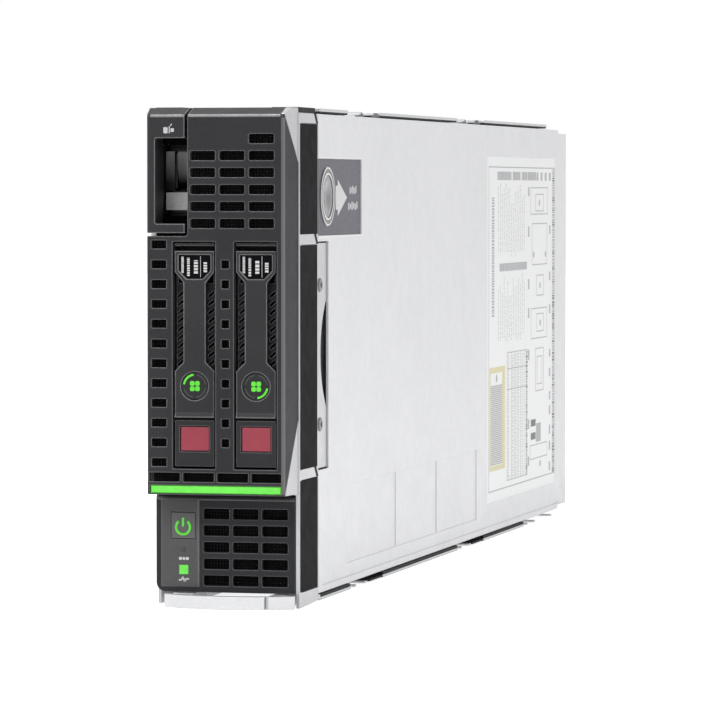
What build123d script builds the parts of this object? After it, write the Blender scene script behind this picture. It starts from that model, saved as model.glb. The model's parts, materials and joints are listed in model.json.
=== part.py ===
from build123d import *
import math
import os

# Blade server standing on its narrow lower edge.
# Millimetres, +Z up, front towards -Y, access panel on the +X side.
# The origin is the middle of the footprint. Distances named "d" run back from the bezel's face.

# Overall size
WIDTH = 55.6
DEPTH = 517.6
HEIGHT = 181.6
GAP = 0.3
SHEET = 1.0

# Sheet metal body
RAIL_TOP_RISE = 2.1
RAIL_FOOT_RISE = 2.9
TRAY_FRONT = 41.5
BEND = 1.2
PANEL_FLANGE = 8.0
PANEL_BEND = 0.9
PANEL_LINE_Z = 6.0
PANEL_LINE_W = 0.8
REAR_STEP_TOP = 1.8
REAR_STEP_FOOT = 1.8
REAR_STEP_RUN = 18.6

# Front frame
FRAME_FRONT = 13.5
FRAME_LIP = 3.1
FRAME_OVERLAP = 5.5
BULKHEAD_D = 22.0
BULKHEAD_SHEET = 1.2
FRAME_LEFT_START = 22.0
PAD_ROOT = 0.2
SKIRT_RISE = 0.9

# Upper bezel
FACE_HALF = 25.56
BEZEL_REAR_HALF = 27.4
BEZEL_DEPTH = FRAME_FRONT
BEZEL_FOOT = 41.6
BEZEL_EDGE_DROP = 3.0
BEZEL_CROWN_DROP = 0.3
CROWN_RUN = 8.0
BEZEL_WALL = 1.6
FACE_WALL = 2.2
COLLAR_WALL = 0.9
CORNER_WALL = 1.0
EDGE_ROUND = 1.2
CHEEK_FACE = 1.0
CHEEK_FRONT_DROP = 3.6
CHEEK_MID_D = 6.4
CHEEK_MID_DROP = 10.2
CHEEK_REAR_DROP = 20.6
CHEEK_FOOT_REAR = 69.0
CHEEK_FOOT_MID = (8.0, 56.6)
CHEEK_FOOT_FRONT = 42.0

# Grille of the upper bezel
GRILLE_SLOT_W = 9.4
GRILLE_SLOT_H = 3.4
GRILLE_PITCH_X = 10.94
GRILLE_PITCH_Z = 6.1
GRILLE_FIRST_X = -4.7
GRILLE_DROP = 11.55
GRILLE_MARGIN = 6.0
GRILLE_COLUMNS = 3
SLOT_CORNER = 0.4

# Vent columns beside the drives and the row of long vents below them
VENT_PITCH = 7.15
VENT_H = 3.0
VENT_FIRST_Z = 131.95
LEFT_VENT_X = -21.1
LEFT_VENT_W = 5.6
LEFT_VENTS = 12
MID_VENT_W = 2.9
MID_VENTS = 10
LONG_VENT_Z = 47.95
LONG_VENT_H = 3.3
LONG_VENT_W = 11.6
LONG_VENT_PITCH = 12.75
LONG_VENTS = 4

# Green light bar
BAR_FOOT = 41.95
BAR_H = 3.15
BAR_W = 49.0
BAR_THICK = 1.2

# Pull tab
TAB_RIGHT = -11.5
TAB_FOOT = 136.1
TAB_GAP = 1.15
TAB_DEPTH = 11.0
TAB_ARM = 3.0
TAB_OPEN_FOOT = 139.4
TAB_OPEN_DROP = 11.3
TAB_OPEN_ROUND = 0.6
TONGUE_X = -24.7
TONGUE_THICK = 1.0
TONGUE_FOOT = 142.0
TONGUE_DROP = 13.6
TONGUE_REAR = 100.0
GUIDE_REAR = 106.0
GUIDE_LIP = 1.6
GUIDE_WALL = 2.0

# Lower bezel
LOWER_FACE_D = 13.8
LOWER_HALF = 26.2
LOWER_FOOT = 5.2
LOWER_TOP = 40.8
LOWER_WALL = 2.4
LOWER_ROUND = 2.0
LOWER_CORNER = 3.5
LOWER_BOX_DEPTH = 3.4
LOWER_SLOT_W = 9.8
LOWER_SLOT_H = 3.9
LOWER_PITCH_X = 11.0
LOWER_PITCH_Z = 6.1
LOWER_FIRST_X = -3.5
LOWER_FIRST_Z = 33.9
LOWER_ROWS = 5
LOWER_COLUMNS = 3
CONTROL_EDGE = -9.96
CONTROL_RISE = 0.25

# Power button and status lights
POWER_X = -15.95
POWER_Z = 29.55
POWER_W = 9.0
POWER_H = 9.6
POWER_TRAVEL = 0.8
POWER_PROUD = 0.2
BUTTON_CLEAR = 0.2
BUTTON_FLANGE = 0.8
LIGHT_X = -15.7
LIGHT_Z = 13.4
LIGHT_SIZE = 3.4
LIGHT_PROUD = 0.15
DOT_Z = 20.6
DOT_R = 0.8
CONTROL_BOARD_X = -24.2
CONTROL_BOARD_FOOT = 7.2
SWITCH_R = 2.0
SWITCH_STRAP = 2.0

# Release lever along the foot of the front
LEVER_LEFT = -21.5
LEVER_RIGHT = 17.2
LEVER_FACE_D = 1.0
LEVER_BOW = 7.0
LEVER_BAR = 3.2
LEVER_FOOT = 0.2
LEVER_TOP = 4.9
LEVER_PIVOT_X = -16.0
LEVER_PIVOT_D = 17.0
LEVER_PIN_R = 2.0
LEVER_EYE_R = 4.5
PIVOT_FIT = 0.05
LEVER_ARM = 2.0
HOOK_REACH = 9.0
HOOK_TIP_W = 5.5
RELEASE_GAP = 0.6
RELEASE_STEM_X = 23.0
RELEASE_HEAD = 1.2
RELEASE_RIGHT = 27.2
RELEASE_TRAVEL = 1.5
RELEASE_REAR = 34.0
RELEASE_CUT = 1.0

# Drives and their carriers
BAY_X = (-8.0, 14.9)
BAY_W = 16.0
BAY_FOOT = 51.0
BAY_TOP = 133.0
CARRIER_W = 14.6
CARRIER_FOOT = 51.9
CARRIER_TOP = 132.4
CARRIER_FACE_D = 3.2
CARRIER_REAR_D = 12.0
CARRIER_SKIN = 1.8
FRAME_RAISED_D = 0.9
FRAME_RAISED_TOP = 68.5
RELIEF_FOOT = 118.0
RELIEF_TOP = 131.5
RELIEF_WALL = 0.8
KNUCKLE_D = 4.3
KNUCKLE_Z = 126.8
KNUCKLE_R = 2.1
HANDLE_PIN_R = 0.8
HANDLE_FACE_D = 0.8
HANDLE_THICK = 2.1
HANDLE_TOP = 129.6
HEAD_FOOT = 122.1
NECK_HALF = 4.1
NECK_TOP = 118.2
NECK_FOOT = 89.5
BASE_TOP = 86.3
BASE_FOOT = 69.6
HANDLE_LEDGE = 1.6
HANDLE_SWING = 52.0
SWING_R = 4.65
SWING_FLAT = 1.25
WINDOW_HALF = 6.05
WINDOW_FOOT = 119.5
WINDOW_TOP = 128.3
WINDOW_CHAMFER = 3.0
WINDOW_DEEP = 0.4
RING_Z = 80.9
RING_R = 4.9
RING_CLEAR = 0.25
RING_D = 1.3
RED_HALF = 5.4
RED_FOOT = 57.4
RED_H = 8.9
RED_D = 1.3
PERF_FOOT = 88.6
PERF_PITCH = 3.1
PERF_COUNT = 9
PERF_W = 2.3
PERF_H = 1.2
PERF_SLANT = 0.9
DISK_W = 14.8
DISK_H = 69.85
DISK_LENGTH = 100.2
DISK_FOOT = 57.2
DISK_FRONT = 16.0
RAIL_HALF = 5.6
RAIL_H = 2.2

# Cage, backplane
CAGE_SHEET = 0.8
CAGE_LEFT = -17.6
CAGE_RIGHT = 24.5
CAGE_FOOT = 51.0
CAGE_TOP = 133.4
CAGE_REAR = 127.0
GUIDE_HALF = 5.0
BACKPLANE_THICK = 1.6
BACK_CONN_HALF = 2.6
BACK_CONN_FOOT = 70.0
BACK_CONN_H = 42.0
BACK_SLOT_HALF = 0.9
BACK_FLOOR = 3.2

# Cage bracket beside the panel's front edge, and its lugs
BRACKET_FOOT = 49.1
BRACKET_TOP = 132.1
BRACKET_REAR = 56.6
BRACKET_DROP = 0.7
RELIEF_Z = 91.2
RELIEF_HALF = 20.1
RELIEF_DEEP = 9.2
LUG_D = 46.4
LUG_Z = (65.2, 116.6)
LUG_W = 4.0
LUG_H = 8.0

# Edge strips
STRIP_FRONT = 17.0
STRIP_REAR = 40.3
STRIP_DROP = 6.0
STRIP_SPANS = ((5.8, 46.2), (50.2, 131.5), (135.5, HEIGHT - STRIP_DROP))
NOTCH_W = 2.2
NOTCH_RUN = 5.0

# Access panel
PANEL_FRONT = 41.4
FIELD_REAR = 109.2
FIELD_FOOT = 134.6
FIELD_TOP = 163.3
FIELD_DEEP = 0.4
LABEL_FRONT = 340.2
LABEL_REAR = 492.0
LABEL_FOOT = 15.8
LABEL_DROP = 15.7
LABEL_RECESS = 0.25
LABEL_THICK = 0.15
EMBOSS_DEEP = 0.35
EMBOSS_LINE = 1.6
EMBOSS_FRONT = 84.2
EMBOSS_REAR = 319.5
EMBOSS_FOOT = 10.8
EMBOSS_TOP = 40.5
EMBOSS_STEP_D = 95.0
EMBOSS_STEP_Z = 25.9
EMBOSS_RIBS = (167.8, 241.6)
CATCH_D = 56.3
CATCH_Z = 149.2
CATCH_R = 8.0
CATCH_RING_R = 10.9
CATCH_WALL = 0.9
CATCH_SLEEVE = 3.0
CATCH_FLANGE = 1.0
CATCH_SET = 0.2
DISH_R = 5.6
DISH_FLOOR_R = 2.0
DISH_DEEP = 0.8

# Guide rails with hooks
RAIL_OUT = 26.8
RAIL_W = 10.0
RAIL_LIP = 1.1
TOP_SPANS = ((48.0, 92.0), (145.5, 284.5), (338.0, 476.0))
FOOT_SPANS = ((48.0, 96.0), (149.0, 286.0), (338.0, 425.0))
TOP_HOOKS = (107.5, 293.5)
TOP_BUMP_START = 22.0
TOP_BUMP_RUN = 15.4
FOOT_HOOKS = (98.0, 287.5, 427.0)
FOOT_BUMP_START = 18.0
FOOT_BUMP_RUN = 8.0
TOOTH_RUN = 13.0
TOOTH_TIP = 5.7
HOOK_DROP = 0.2
PAD_SPANS = ((126.5, 148.5), (314.5, 337.5))
PAD_DROP = 0.4
WEDGE_SPAN = (458.0, 493.0)
WEDGE_NOSE = 4.0

# System board and what stands on it
BOARD_THICK = 1.6
STANDOFF_H = 3.2
STANDOFF_R = 2.5
BOARD_FRONT = 134.0
BOARD_REAR = 498.0
BOARD_MARGIN = 3.6
STANDOFF_IN = 3.5
SOCKET_SIZE = 56.0
SOCKET_H = 4.0
CPU_SIZE = 45.0
CPU_H = 3.0
FRONT_ZONE = 29.8
BANK_GAP = 1.15
SINK_LENGTH = 92.0
SINK_CLEAR = 0.2
SINK_BASE = 4.0
SINK_TOP_X = 23.0
FIN_THICK = 0.7
FIN_PITCH = 3.5
SINK_CORNER = 9.0
DIMM_LENGTH = 133.35
DIMM_H = 30.0
DIMM_THICK = 1.3
DIMM_PITCH = 9.0
DIMM_PER_BANK = 4
DIMM_SOCKET_W = 6.4
DIMM_SOCKET_H = 7.4
DIMM_SOCKET_OVER = 5.0
DIMM_SEAT = 3.4
BANK_MARGIN = 10.0
LATCH_H = 20.0
LATCH_W = 3.2
BAFFLE_SHEET = 1.2
BAFFLE_CLEAR = 0.4
BAFFLE_FIT = 0.6
BAFFLE_LEG_Z = 5.0
BAFFLE_LEG_W = 5.0
CARDS = 3
CARD_CLEAR = 2.15
CARD_REAR_CLEAR = 1.4
CARD_MARGIN = 3.4
CARD_SPACE = 7.0
CARD_X = -10.0
CARD_CONN_W = 30.0
CARD_CONN_L = 8.0
CARD_SINK_HALF = 16.0
CARD_SINK_BASE = 3.0
CARD_SINK_H = 14.0
CARD_FIN = 1.0
CARD_FINS = 8
CONTROLLER_Z = 92.0
CONTROLLER_L = 22.0
CONTROLLER_H = 70.0
CONTROLLER_CHIP = 18.0
CONTROLLER_CHIP_H = 4.0
CONTROLLER_POST_IN = 5.0
CELL_R = 10.0
CELL_H = 3.2
CELL_Z = 30.0
CELL_WALL = 1.5
CELL_FLOOR = 1.0
PORT_DROP = 19.6
PORT_RISE = 7.0
PORT_L = 14.0
PORT_H = 13.0
PORT_WALL = 1.2
PORT_SIDE = 1.0
PORT_BACK = 2.0
PACK_FRONT = 62.0
PACK_LENGTH = 54.0
PACK_FOOT = 9.0
PACK_H = 29.0
PACK_LEFT = -23.0
PACK_THICK = 14.0
PACK_EDGE = 2.0
SADDLE_IN = 7.0

# Rear wall and connectors
REAR_WALL_D = 510.0
SIGNAL_Z = 92.0
SIGNAL_H = 56.0
POWER_CONN_Z = 30.0
POWER_CONN_H = 22.0
CONN_RIGHT = 5.0
CONN_FRONT = 499.0
CONN_REAR = 516.4
CONN_ROWS = 8
CONN_WALL = 1.6
CONN_DEEP = 7.0
CONTACT_RISE = 1.4
REAR_VENT_LEFT = 9.0
REAR_VENT_EDGE = 3.0
REAR_VENT_PITCH = 18.4
REAR_VENT_H = 14.0

# Front connector behind the pull tab's finger opening
FRONT_CONN_X = (-21.5, -13.0)
FRONT_CONN_FOOT = 143.0
FRONT_CONN_DROP = 14.6
FRONT_CONN_D = (18.5, 36.0)
FRONT_CONN_LIP = 1.0
FRONT_CONN_WALL = 1.0
SOCKET_TALL = 14.5
SOCKET_DEEP = 6.0
BLADE_THICK = 0.7
BLADE_SETBACK = 1.0
BLADE_IN = 1.0

# Values worked out from the sizes above
HALF = WIDTH / 2
BEZEL_EDGE = HEIGHT - BEZEL_EDGE_DROP
BEZEL_CROWN = HEIGHT - BEZEL_CROWN_DROP
GRILLE_FIRST_Z = HEIGHT - GRILLE_DROP
GRILLE_ROWS = int((GRILLE_FIRST_Z - BAY_TOP - GRILLE_MARGIN) / GRILLE_PITCH_Z) + 1
TAB_OPEN_TOP = HEIGHT - TAB_OPEN_DROP
TONGUE_TOP = HEIGHT - TONGUE_DROP
FRONT_CONN_Z = (FRONT_CONN_FOOT, HEIGHT - FRONT_CONN_DROP)
LABEL_TOP = HEIGHT - LABEL_DROP
PANEL_TOP = HEIGHT - RAIL_TOP_RISE
PANEL_FOOT = RAIL_FOOT_RISE
TRAY_TOP = PANEL_TOP - SHEET - GAP
TRAY_FOOT = PANEL_FOOT + SHEET + GAP
TRAY_IN_TOP = TRAY_TOP - SHEET
TRAY_IN_FOOT = TRAY_FOOT + SHEET
TRAY_IN_LEFT = -HALF + SHEET
PANEL_IN = HALF - SHEET
TRAY_RIGHT = PANEL_IN - GAP
TONGUE_LEFT = TONGUE_X - TONGUE_THICK / 2
TONGUE_RIGHT = TONGUE_X + TONGUE_THICK / 2
MID_VENT_X = (BAY_X[0] + BAY_X[1]) / 2 + 0.25
LEVER_CEILING = TRAY_IN_FOOT
BOARD_LEFT = TRAY_IN_LEFT + STANDOFF_H
BOARD_TOP_X = BOARD_LEFT + BOARD_THICK
BOARD_FOOT = TRAY_IN_FOOT + BOARD_MARGIN
BOARD_TOP = TRAY_IN_TOP - BOARD_MARGIN
BOARD_MID = (BOARD_FOOT + BOARD_TOP) / 2
SINK_BASE_X = BOARD_TOP_X + SOCKET_H + CPU_H
BANK_H = BANK_MARGIN + (DIMM_PER_BANK - 1) * DIMM_PITCH + DIMM_SOCKET_W / 2 + SINK_CLEAR
SINK_H = BOARD_TOP - BOARD_FOOT - 2 * BANK_H
BANK_HALF = DIMM_LENGTH / 2 + DIMM_SOCKET_OVER
ZONE_D = BOARD_FRONT + FRONT_ZONE / 2
CPU_FIRST = BOARD_FRONT + FRONT_ZONE + BANK_HALF
CPU_D = (CPU_FIRST, CPU_FIRST + 2 * BANK_HALF + BANK_GAP)
BAFFLE_HALF = BANK_HALF + BAFFLE_FIT
CARD_FRONT = CPU_D[1] + BAFFLE_HALF + BAFFLE_SHEET + CARD_CLEAR
CARD_REAR = CONN_FRONT - CARD_REAR_CLEAR
CARD_H = (BOARD_TOP - BOARD_FOOT - 2 * CARD_MARGIN - (CARDS - 1) * CARD_SPACE) / CARDS
CARD_D = (CARD_FRONT + CARD_REAR) / 2
PORT_Z = BOARD_TOP - PORT_DROP
REAR_VENTS = int((BOARD_TOP - BOARD_FOOT - REAR_VENT_H) / REAR_VENT_PITCH) + 1
BOW_X = (LEVER_LEFT + RELEASE_RIGHT) / 2
BOW_HALF = (RELEASE_RIGHT - LEVER_LEFT) / 2
BOW_R = (BOW_HALF ** 2 + LEVER_BOW ** 2) / (2 * LEVER_BOW)


def back(d):
    """Y of a plane this far behind the bezel's face."""
    return d - DEPTH / 2


def block(x0, x1, d0, d1, z0, z1):
    """Box between two X, two depths and two heights."""
    place = Pos((x0 + x1) / 2, back((d0 + d1) / 2), (z0 + z1) / 2)
    return place * Box(x1 - x0, d1 - d0, z1 - z0)


def flat_rect(u0, u1, v0, v1, r=0.0):
    """Rectangle in a sketch, with rounded corners where r is given."""
    place = Pos((u0 + u1) / 2, (v0 + v1) / 2)
    if r > 0:
        return place * RectangleRounded(u1 - u0, v1 - v0, r)
    return place * Rectangle(u1 - u0, v1 - v0)


def outline(*points):
    """Face inside straight runs."""
    return make_face(Polyline(*points, close=True))


def front_prism(sketch, d0, d1):
    """Sketch of X and Z, drawn out between two depths."""
    plane = Plane(origin=(0, back(d1), 0), x_dir=(1, 0, 0), z_dir=(0, -1, 0))
    return extrude(plane * sketch, amount=d1 - d0)


def side_prism(sketch, x0, x1):
    """Sketch of Y and Z, drawn out between two X."""
    plane = Plane(origin=(x0, 0, 0), x_dir=(0, 1, 0), z_dir=(1, 0, 0))
    return extrude(plane * sketch, amount=x1 - x0)


def plan_prism(sketch, z0, z1):
    """Sketch of X and Y, drawn out between two heights."""
    return extrude(Plane.XY.offset(z0) * sketch, amount=z1 - z0)


def rod_x(x0, x1, d, z, r):
    """Cylinder along X."""
    return side_prism(Pos(back(d), z) * Circle(r), x0, x1)


def rod_y(x, z, d0, d1, r):
    """Cylinder along the depth."""
    return front_prism(Pos(x, z) * Circle(r), d0, d1)


def rod_z(x, d, z0, z1, r):
    """Upright cylinder."""
    return plan_prism(Pos(x, back(d)) * Circle(r), z0, z1)


def slots(cells, width, height, d0, d1, corner=0.0):
    """Slots through a front, one for each centre, with cut corners where a size is given."""
    slot = Rectangle(width, height)
    if corner > 0:
        slot = chamfer(slot.vertices(), corner)
    holes = Sketch()
    for x, z in cells:
        holes += Pos(x, z) * slot
    return front_prism(holes, d0, d1)


def nose():
    """Outer form that the upper bezel, the pull tab and the frame's cheeks share."""
    side = outline(
        (back(0), BEZEL_FOOT), (back(0), BEZEL_EDGE), (back(CROWN_RUN), BEZEL_CROWN),
        (back(BEZEL_DEPTH), BEZEL_CROWN), (back(BEZEL_DEPTH), BEZEL_FOOT))
    plan = outline(
        (-FACE_HALF, back(0)), (FACE_HALF, back(0)),
        (BEZEL_REAR_HALF, back(BEZEL_DEPTH)), (-BEZEL_REAR_HALF, back(BEZEL_DEPTH)))
    body = side_prism(side, -WIDTH, WIDTH) & plan_prism(plan, 0, HEIGHT)
    front = body.edges().filter_by_position(Axis.Y, back(0) - GAP, back(0) + GAP)
    rim = front.filter_by(Axis.Z) + front.filter_by(Axis.X).sort_by(Axis.Z)[-1:]
    return fillet(rim, EDGE_ROUND)


def cheek_curve(inset):
    """Side outline of the dark bezel: full depth at mid height, cut back along two arcs."""
    rear = back(BEZEL_DEPTH + GAP)
    top = ThreePointArc(
        (back(CHEEK_FACE + inset), HEIGHT - CHEEK_FRONT_DROP + inset),
        (back(CHEEK_MID_D), HEIGHT - CHEEK_MID_DROP + inset),
        (rear, HEIGHT - CHEEK_REAR_DROP + inset))
    foot = ThreePointArc(
        (rear, CHEEK_FOOT_REAR - inset),
        (back(CHEEK_FOOT_MID[0]), CHEEK_FOOT_MID[1] - inset),
        (back(CHEEK_FACE + inset), CHEEK_FOOT_FRONT - inset))
    drop = Line(top @ 1, foot @ 0)
    front = Polyline(
        foot @ 1, (back(CHEEK_FACE + inset), 0), (back(-SHEET), 0),
        (back(-SHEET), HEIGHT + SHEET), (back(CHEEK_FACE + inset), HEIGHT + SHEET), top @ 0)
    return make_face(top + drop + foot + front)


NOSE = nose()
GRILLE_CELLS = [
    (GRILLE_FIRST_X + column * GRILLE_PITCH_X, GRILLE_FIRST_Z - row * GRILLE_PITCH_Z)
    for row in range(GRILLE_ROWS) for column in range(GRILLE_COLUMNS)
    if row > 0 or column == GRILLE_COLUMNS - 1]
LEFT_CELLS = [(LEFT_VENT_X, VENT_FIRST_Z - VENT_PITCH * row) for row in range(LEFT_VENTS)]
MID_CELLS = [(MID_VENT_X, VENT_FIRST_Z - VENT_PITCH * (row + 1)) for row in range(MID_VENTS)]
LONG_CELLS = [
    ((column - (LONG_VENTS - 1) / 2) * LONG_VENT_PITCH, LONG_VENT_Z)
    for column in range(LONG_VENTS)]
LOWER_CELLS = [
    (LOWER_FIRST_X + column * LOWER_PITCH_X, LOWER_FIRST_Z - row * LOWER_PITCH_Z)
    for row in range(LOWER_ROWS) for column in range(LOWER_COLUMNS)]


def upper_bezel():
    """Front moulding: tapered shell with holes for the bays and a corner left for the pull tab."""
    inner = FACE_HALF - BEZEL_WALL
    body = NOSE
    hollow = block(-inner, inner, FACE_WALL, BEZEL_DEPTH + GAP,
                   BEZEL_FOOT + BEZEL_WALL, BEZEL_EDGE - BEZEL_WALL)
    body -= hollow
    for x in BAY_X:
        body -= block(x - BAY_W / 2, x + BAY_W / 2, -SHEET, BEZEL_DEPTH + GAP, BAY_FOOT, BAY_TOP)
    corner_x = TAB_RIGHT + TAB_GAP
    corner_z = TAB_FOOT - TAB_GAP
    body += block(corner_x, corner_x + BEZEL_WALL, FACE_WALL, BEZEL_DEPTH,
                  corner_z, BEZEL_EDGE - BEZEL_WALL)
    body += block(-inner, corner_x + BEZEL_WALL, FACE_WALL, BEZEL_DEPTH,
                  corner_z - CORNER_WALL, corner_z)
    corner = flat_rect(-WIDTH, corner_x, corner_z, HEIGHT + SHEET, EDGE_ROUND)
    body -= front_prism(corner, -SHEET, BEZEL_DEPTH + GAP)
    beyond = flat_rect(back(-SHEET), back(BEZEL_DEPTH + SHEET), 0, HEIGHT + SHEET) - cheek_curve(0)
    side_cut = side_prism(beyond, 0, WIDTH)
    for x0 in (FACE_HALF - BEZEL_WALL, -FACE_HALF + BEZEL_WALL - WIDTH):
        body -= Pos(x0, 0, 0) * side_cut
    body -= slots(GRILLE_CELLS, GRILLE_SLOT_W, GRILLE_SLOT_H, -SHEET, FACE_WALL + GAP, SLOT_CORNER)
    body -= slots(LEFT_CELLS, LEFT_VENT_W, VENT_H, -SHEET, FACE_WALL + GAP)
    body -= slots(MID_CELLS, MID_VENT_W, VENT_H, -SHEET, FACE_WALL + GAP)
    body -= slots(LONG_CELLS, LONG_VENT_W, LONG_VENT_H, -SHEET, FACE_WALL + GAP)
    body -= block(-BAR_W / 2, BAR_W / 2, -SHEET, BAR_THICK, BAR_FOOT, BAR_FOOT + BAR_H)
    return body


def bay_collars():
    """Plates behind the bezel's face, four to a bay, that guide the drives into their bays."""
    parts = []
    for x in BAY_X:
        left = x - BAY_W / 2
        right = x + BAY_W / 2
        for x0, x1 in ((left - COLLAR_WALL, left), (right, right + COLLAR_WALL)):
            parts.append(block(x0, x1, FACE_WALL, BEZEL_DEPTH, BAY_FOOT, BAY_TOP))
        for z0, z1 in ((BAY_FOOT - COLLAR_WALL, BAY_FOOT), (BAY_TOP, BAY_TOP + COLLAR_WALL)):
            parts.append(block(left - COLLAR_WALL, right + COLLAR_WALL, FACE_WALL, BEZEL_DEPTH, z0, z1))
    return parts


def light_bar():
    """Green strip in its recess across the foot of the upper bezel."""
    body = block(-BAR_W / 2 + GAP / 2, BAR_W / 2 - GAP / 2, GAP / 2, BAR_THICK,
                 BAR_FOOT + GAP / 2, BAR_FOOT + BAR_H - GAP / 2)
    return chamfer(body.faces().sort_by(Axis.Y)[0].edges(), GAP)


def cheeks():
    """Light side pieces of the frame that show past the bezel's curved edges."""
    inner = FACE_HALF - BEZEL_WALL + GAP
    blank = NOSE & block(inner, WIDTH, -SHEET, BEZEL_DEPTH, 0, HEIGHT)
    beyond = side_prism(
        flat_rect(back(-SHEET), back(BEZEL_DEPTH), 0, HEIGHT + SHEET) - cheek_curve(GAP), 0, WIDTH)
    right = blank & beyond
    left = mirror(right, about=Plane.YZ)
    left &= block(-WIDTH, 0, -SHEET, BEZEL_DEPTH, 0, TAB_FOOT - GAP)
    return right + left


def front_frame():
    """Sheet metal ring behind the bezels, with cheeks, lips and skirts."""
    out = HALF - SHEET
    rear = TRAY_FRONT + FRAME_OVERLAP
    ring = block(-out, out, FRAME_FRONT, TRAY_FRONT - GAP, LEVER_CEILING, PANEL_TOP)
    ring -= block(-out + SHEET, out - SHEET, FRAME_FRONT - GAP, TRAY_FRONT,
                  LEVER_CEILING + SHEET, PANEL_TOP - SHEET)
    tongue = block(-out, TRAY_RIGHT, TRAY_FRONT - GAP - SHEET, rear, LEVER_CEILING, TRAY_IN_TOP)
    tongue -= block(-out + SHEET, TRAY_RIGHT - SHEET, TRAY_FRONT - 2 * GAP - SHEET, rear + GAP,
                    LEVER_CEILING + SHEET, TRAY_IN_TOP - SHEET)
    tongue -= block(TRAY_RIGHT - 2 * SHEET, WIDTH, TRAY_FRONT - GAP, rear + GAP, 0, HEIGHT)
    joggle = block(-out, out, TRAY_FRONT - GAP - SHEET, TRAY_FRONT - GAP, TRAY_IN_TOP - SHEET, PANEL_TOP)
    body = ring + tongue + joggle
    skirt = outline(
        (back(FRAME_FRONT), 0), (back(FRAME_FRONT + FRAME_LIP), 0),
        (back(TRAY_FRONT + FRAME_OVERLAP / 2), SKIRT_RISE),
        (back(TRAY_FRONT + FRAME_OVERLAP / 2), PANEL_FOOT - GAP),
        (back(TRAY_FRONT - GAP), PANEL_FOOT - GAP),
        (back(TRAY_FRONT - GAP), STRIP_SPANS[0][0] - GAP), (back(FRAME_FRONT), STRIP_SPANS[0][0] - GAP))
    pad_spans = [(STRIP_SPANS[0][1], STRIP_SPANS[1][0]), (STRIP_SPANS[1][1], STRIP_SPANS[2][0]),
                 (STRIP_SPANS[2][1], PANEL_TOP)]
    for side in (1, -1):
        x0, x1 = sorted((side * (out - PAD_ROOT), side * HALF))
        body += block(x0, x1, FRAME_FRONT, FRAME_FRONT + FRAME_LIP, LEVER_CEILING, PANEL_TOP)
        body += side_prism(skirt, x0, x1)
        for z0, z1 in pad_spans:
            pad = block(x0, x1, FRAME_FRONT, TRAY_FRONT - GAP, z0 + GAP, z1)
            notch = outline(
                (back(STRIP_REAR - NOTCH_RUN), z1), (back(STRIP_REAR - NOTCH_RUN + NOTCH_W), z1),
                (back(STRIP_REAR + NOTCH_W), z0), (back(STRIP_REAR), z0))
            body += pad - side_prism(notch, x0, x1)
    body += cheeks()
    body -= block(-LOWER_HALF - GAP, LOWER_HALF + GAP, FRAME_FRONT - GAP, LOWER_FACE_D + LOWER_WALL,
                  0, LOWER_TOP + GAP)
    body -= block(-WIDTH, -LOWER_HALF + BEZEL_WALL + GAP, FRAME_FRONT - GAP, FRAME_LEFT_START,
                  0, LOWER_TOP + GAP)
    return body


def bulkhead():
    """Dark plate across the frame with windows for the air, the drives, the tongue and the connector."""
    out = HALF - 2 * SHEET
    wall = block(-out, out, BULKHEAD_D, BULKHEAD_D + BULKHEAD_SHEET,
                 LEVER_CEILING + SHEET, PANEL_TOP - SHEET)
    grille_z0 = GRILLE_FIRST_Z - (GRILLE_ROWS - 1) * GRILLE_PITCH_Z - GRILLE_SLOT_H / 2
    grille_x0 = GRILLE_FIRST_X - GRILLE_SLOT_W / 2
    grille_x1 = GRILLE_FIRST_X + (GRILLE_COLUMNS - 1) * GRILLE_PITCH_X + GRILLE_SLOT_W / 2
    lower_z0 = LOWER_FIRST_Z - (LOWER_ROWS - 1) * LOWER_PITCH_Z - LOWER_SLOT_H / 2
    lower_x0 = LOWER_FIRST_X - LOWER_SLOT_W / 2
    lower_x1 = LOWER_FIRST_X + (LOWER_COLUMNS - 1) * LOWER_PITCH_X + LOWER_SLOT_W / 2
    vent_z0 = VENT_FIRST_Z - (LEFT_VENTS - 1) * VENT_PITCH - VENT_H / 2
    windows = [(x - BAY_W / 2, x + BAY_W / 2, BAY_FOOT, BAY_TOP) for x in BAY_X]
    windows += [
        (grille_x0, grille_x1, grille_z0, GRILLE_FIRST_Z + GRILLE_SLOT_H / 2),
        (lower_x0, lower_x1, lower_z0, LOWER_FIRST_Z + LOWER_SLOT_H / 2),
        (LEFT_VENT_X - LEFT_VENT_W / 2, LEFT_VENT_X + LEFT_VENT_W / 2, vent_z0, VENT_FIRST_Z + VENT_H / 2),
        (TONGUE_LEFT - 2 * GAP, TONGUE_RIGHT + 2 * GAP, TONGUE_FOOT - 2 * GAP, TONGUE_TOP + 2 * GAP),
        (FRONT_CONN_X[0], FRONT_CONN_X[1], FRONT_CONN_Z[0], FRONT_CONN_Z[1])]
    for x0, x1, z0, z1 in windows:
        wall -= block(x0, x1, BULKHEAD_D - GAP, BULKHEAD_D + 2 * BULKHEAD_SHEET, z0, z1)
    return wall


def edge_strips():
    """Dark strips on both sides of the frame."""
    strips = []
    for side, front in ((1, STRIP_FRONT), (-1, FRAME_LEFT_START + GAP)):
        x0, x1 = sorted((side * (HALF - SHEET), side * HALF))
        for z0, z1 in STRIP_SPANS:
            strip = block(x0, x1, front, STRIP_REAR, z0, z1)
            edges = strip.edges().filter_by(Axis.Z).group_by(Axis.X)[-1 if side > 0 else 0]
            strips.append(chamfer(edges, GAP))
    return strips


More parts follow.
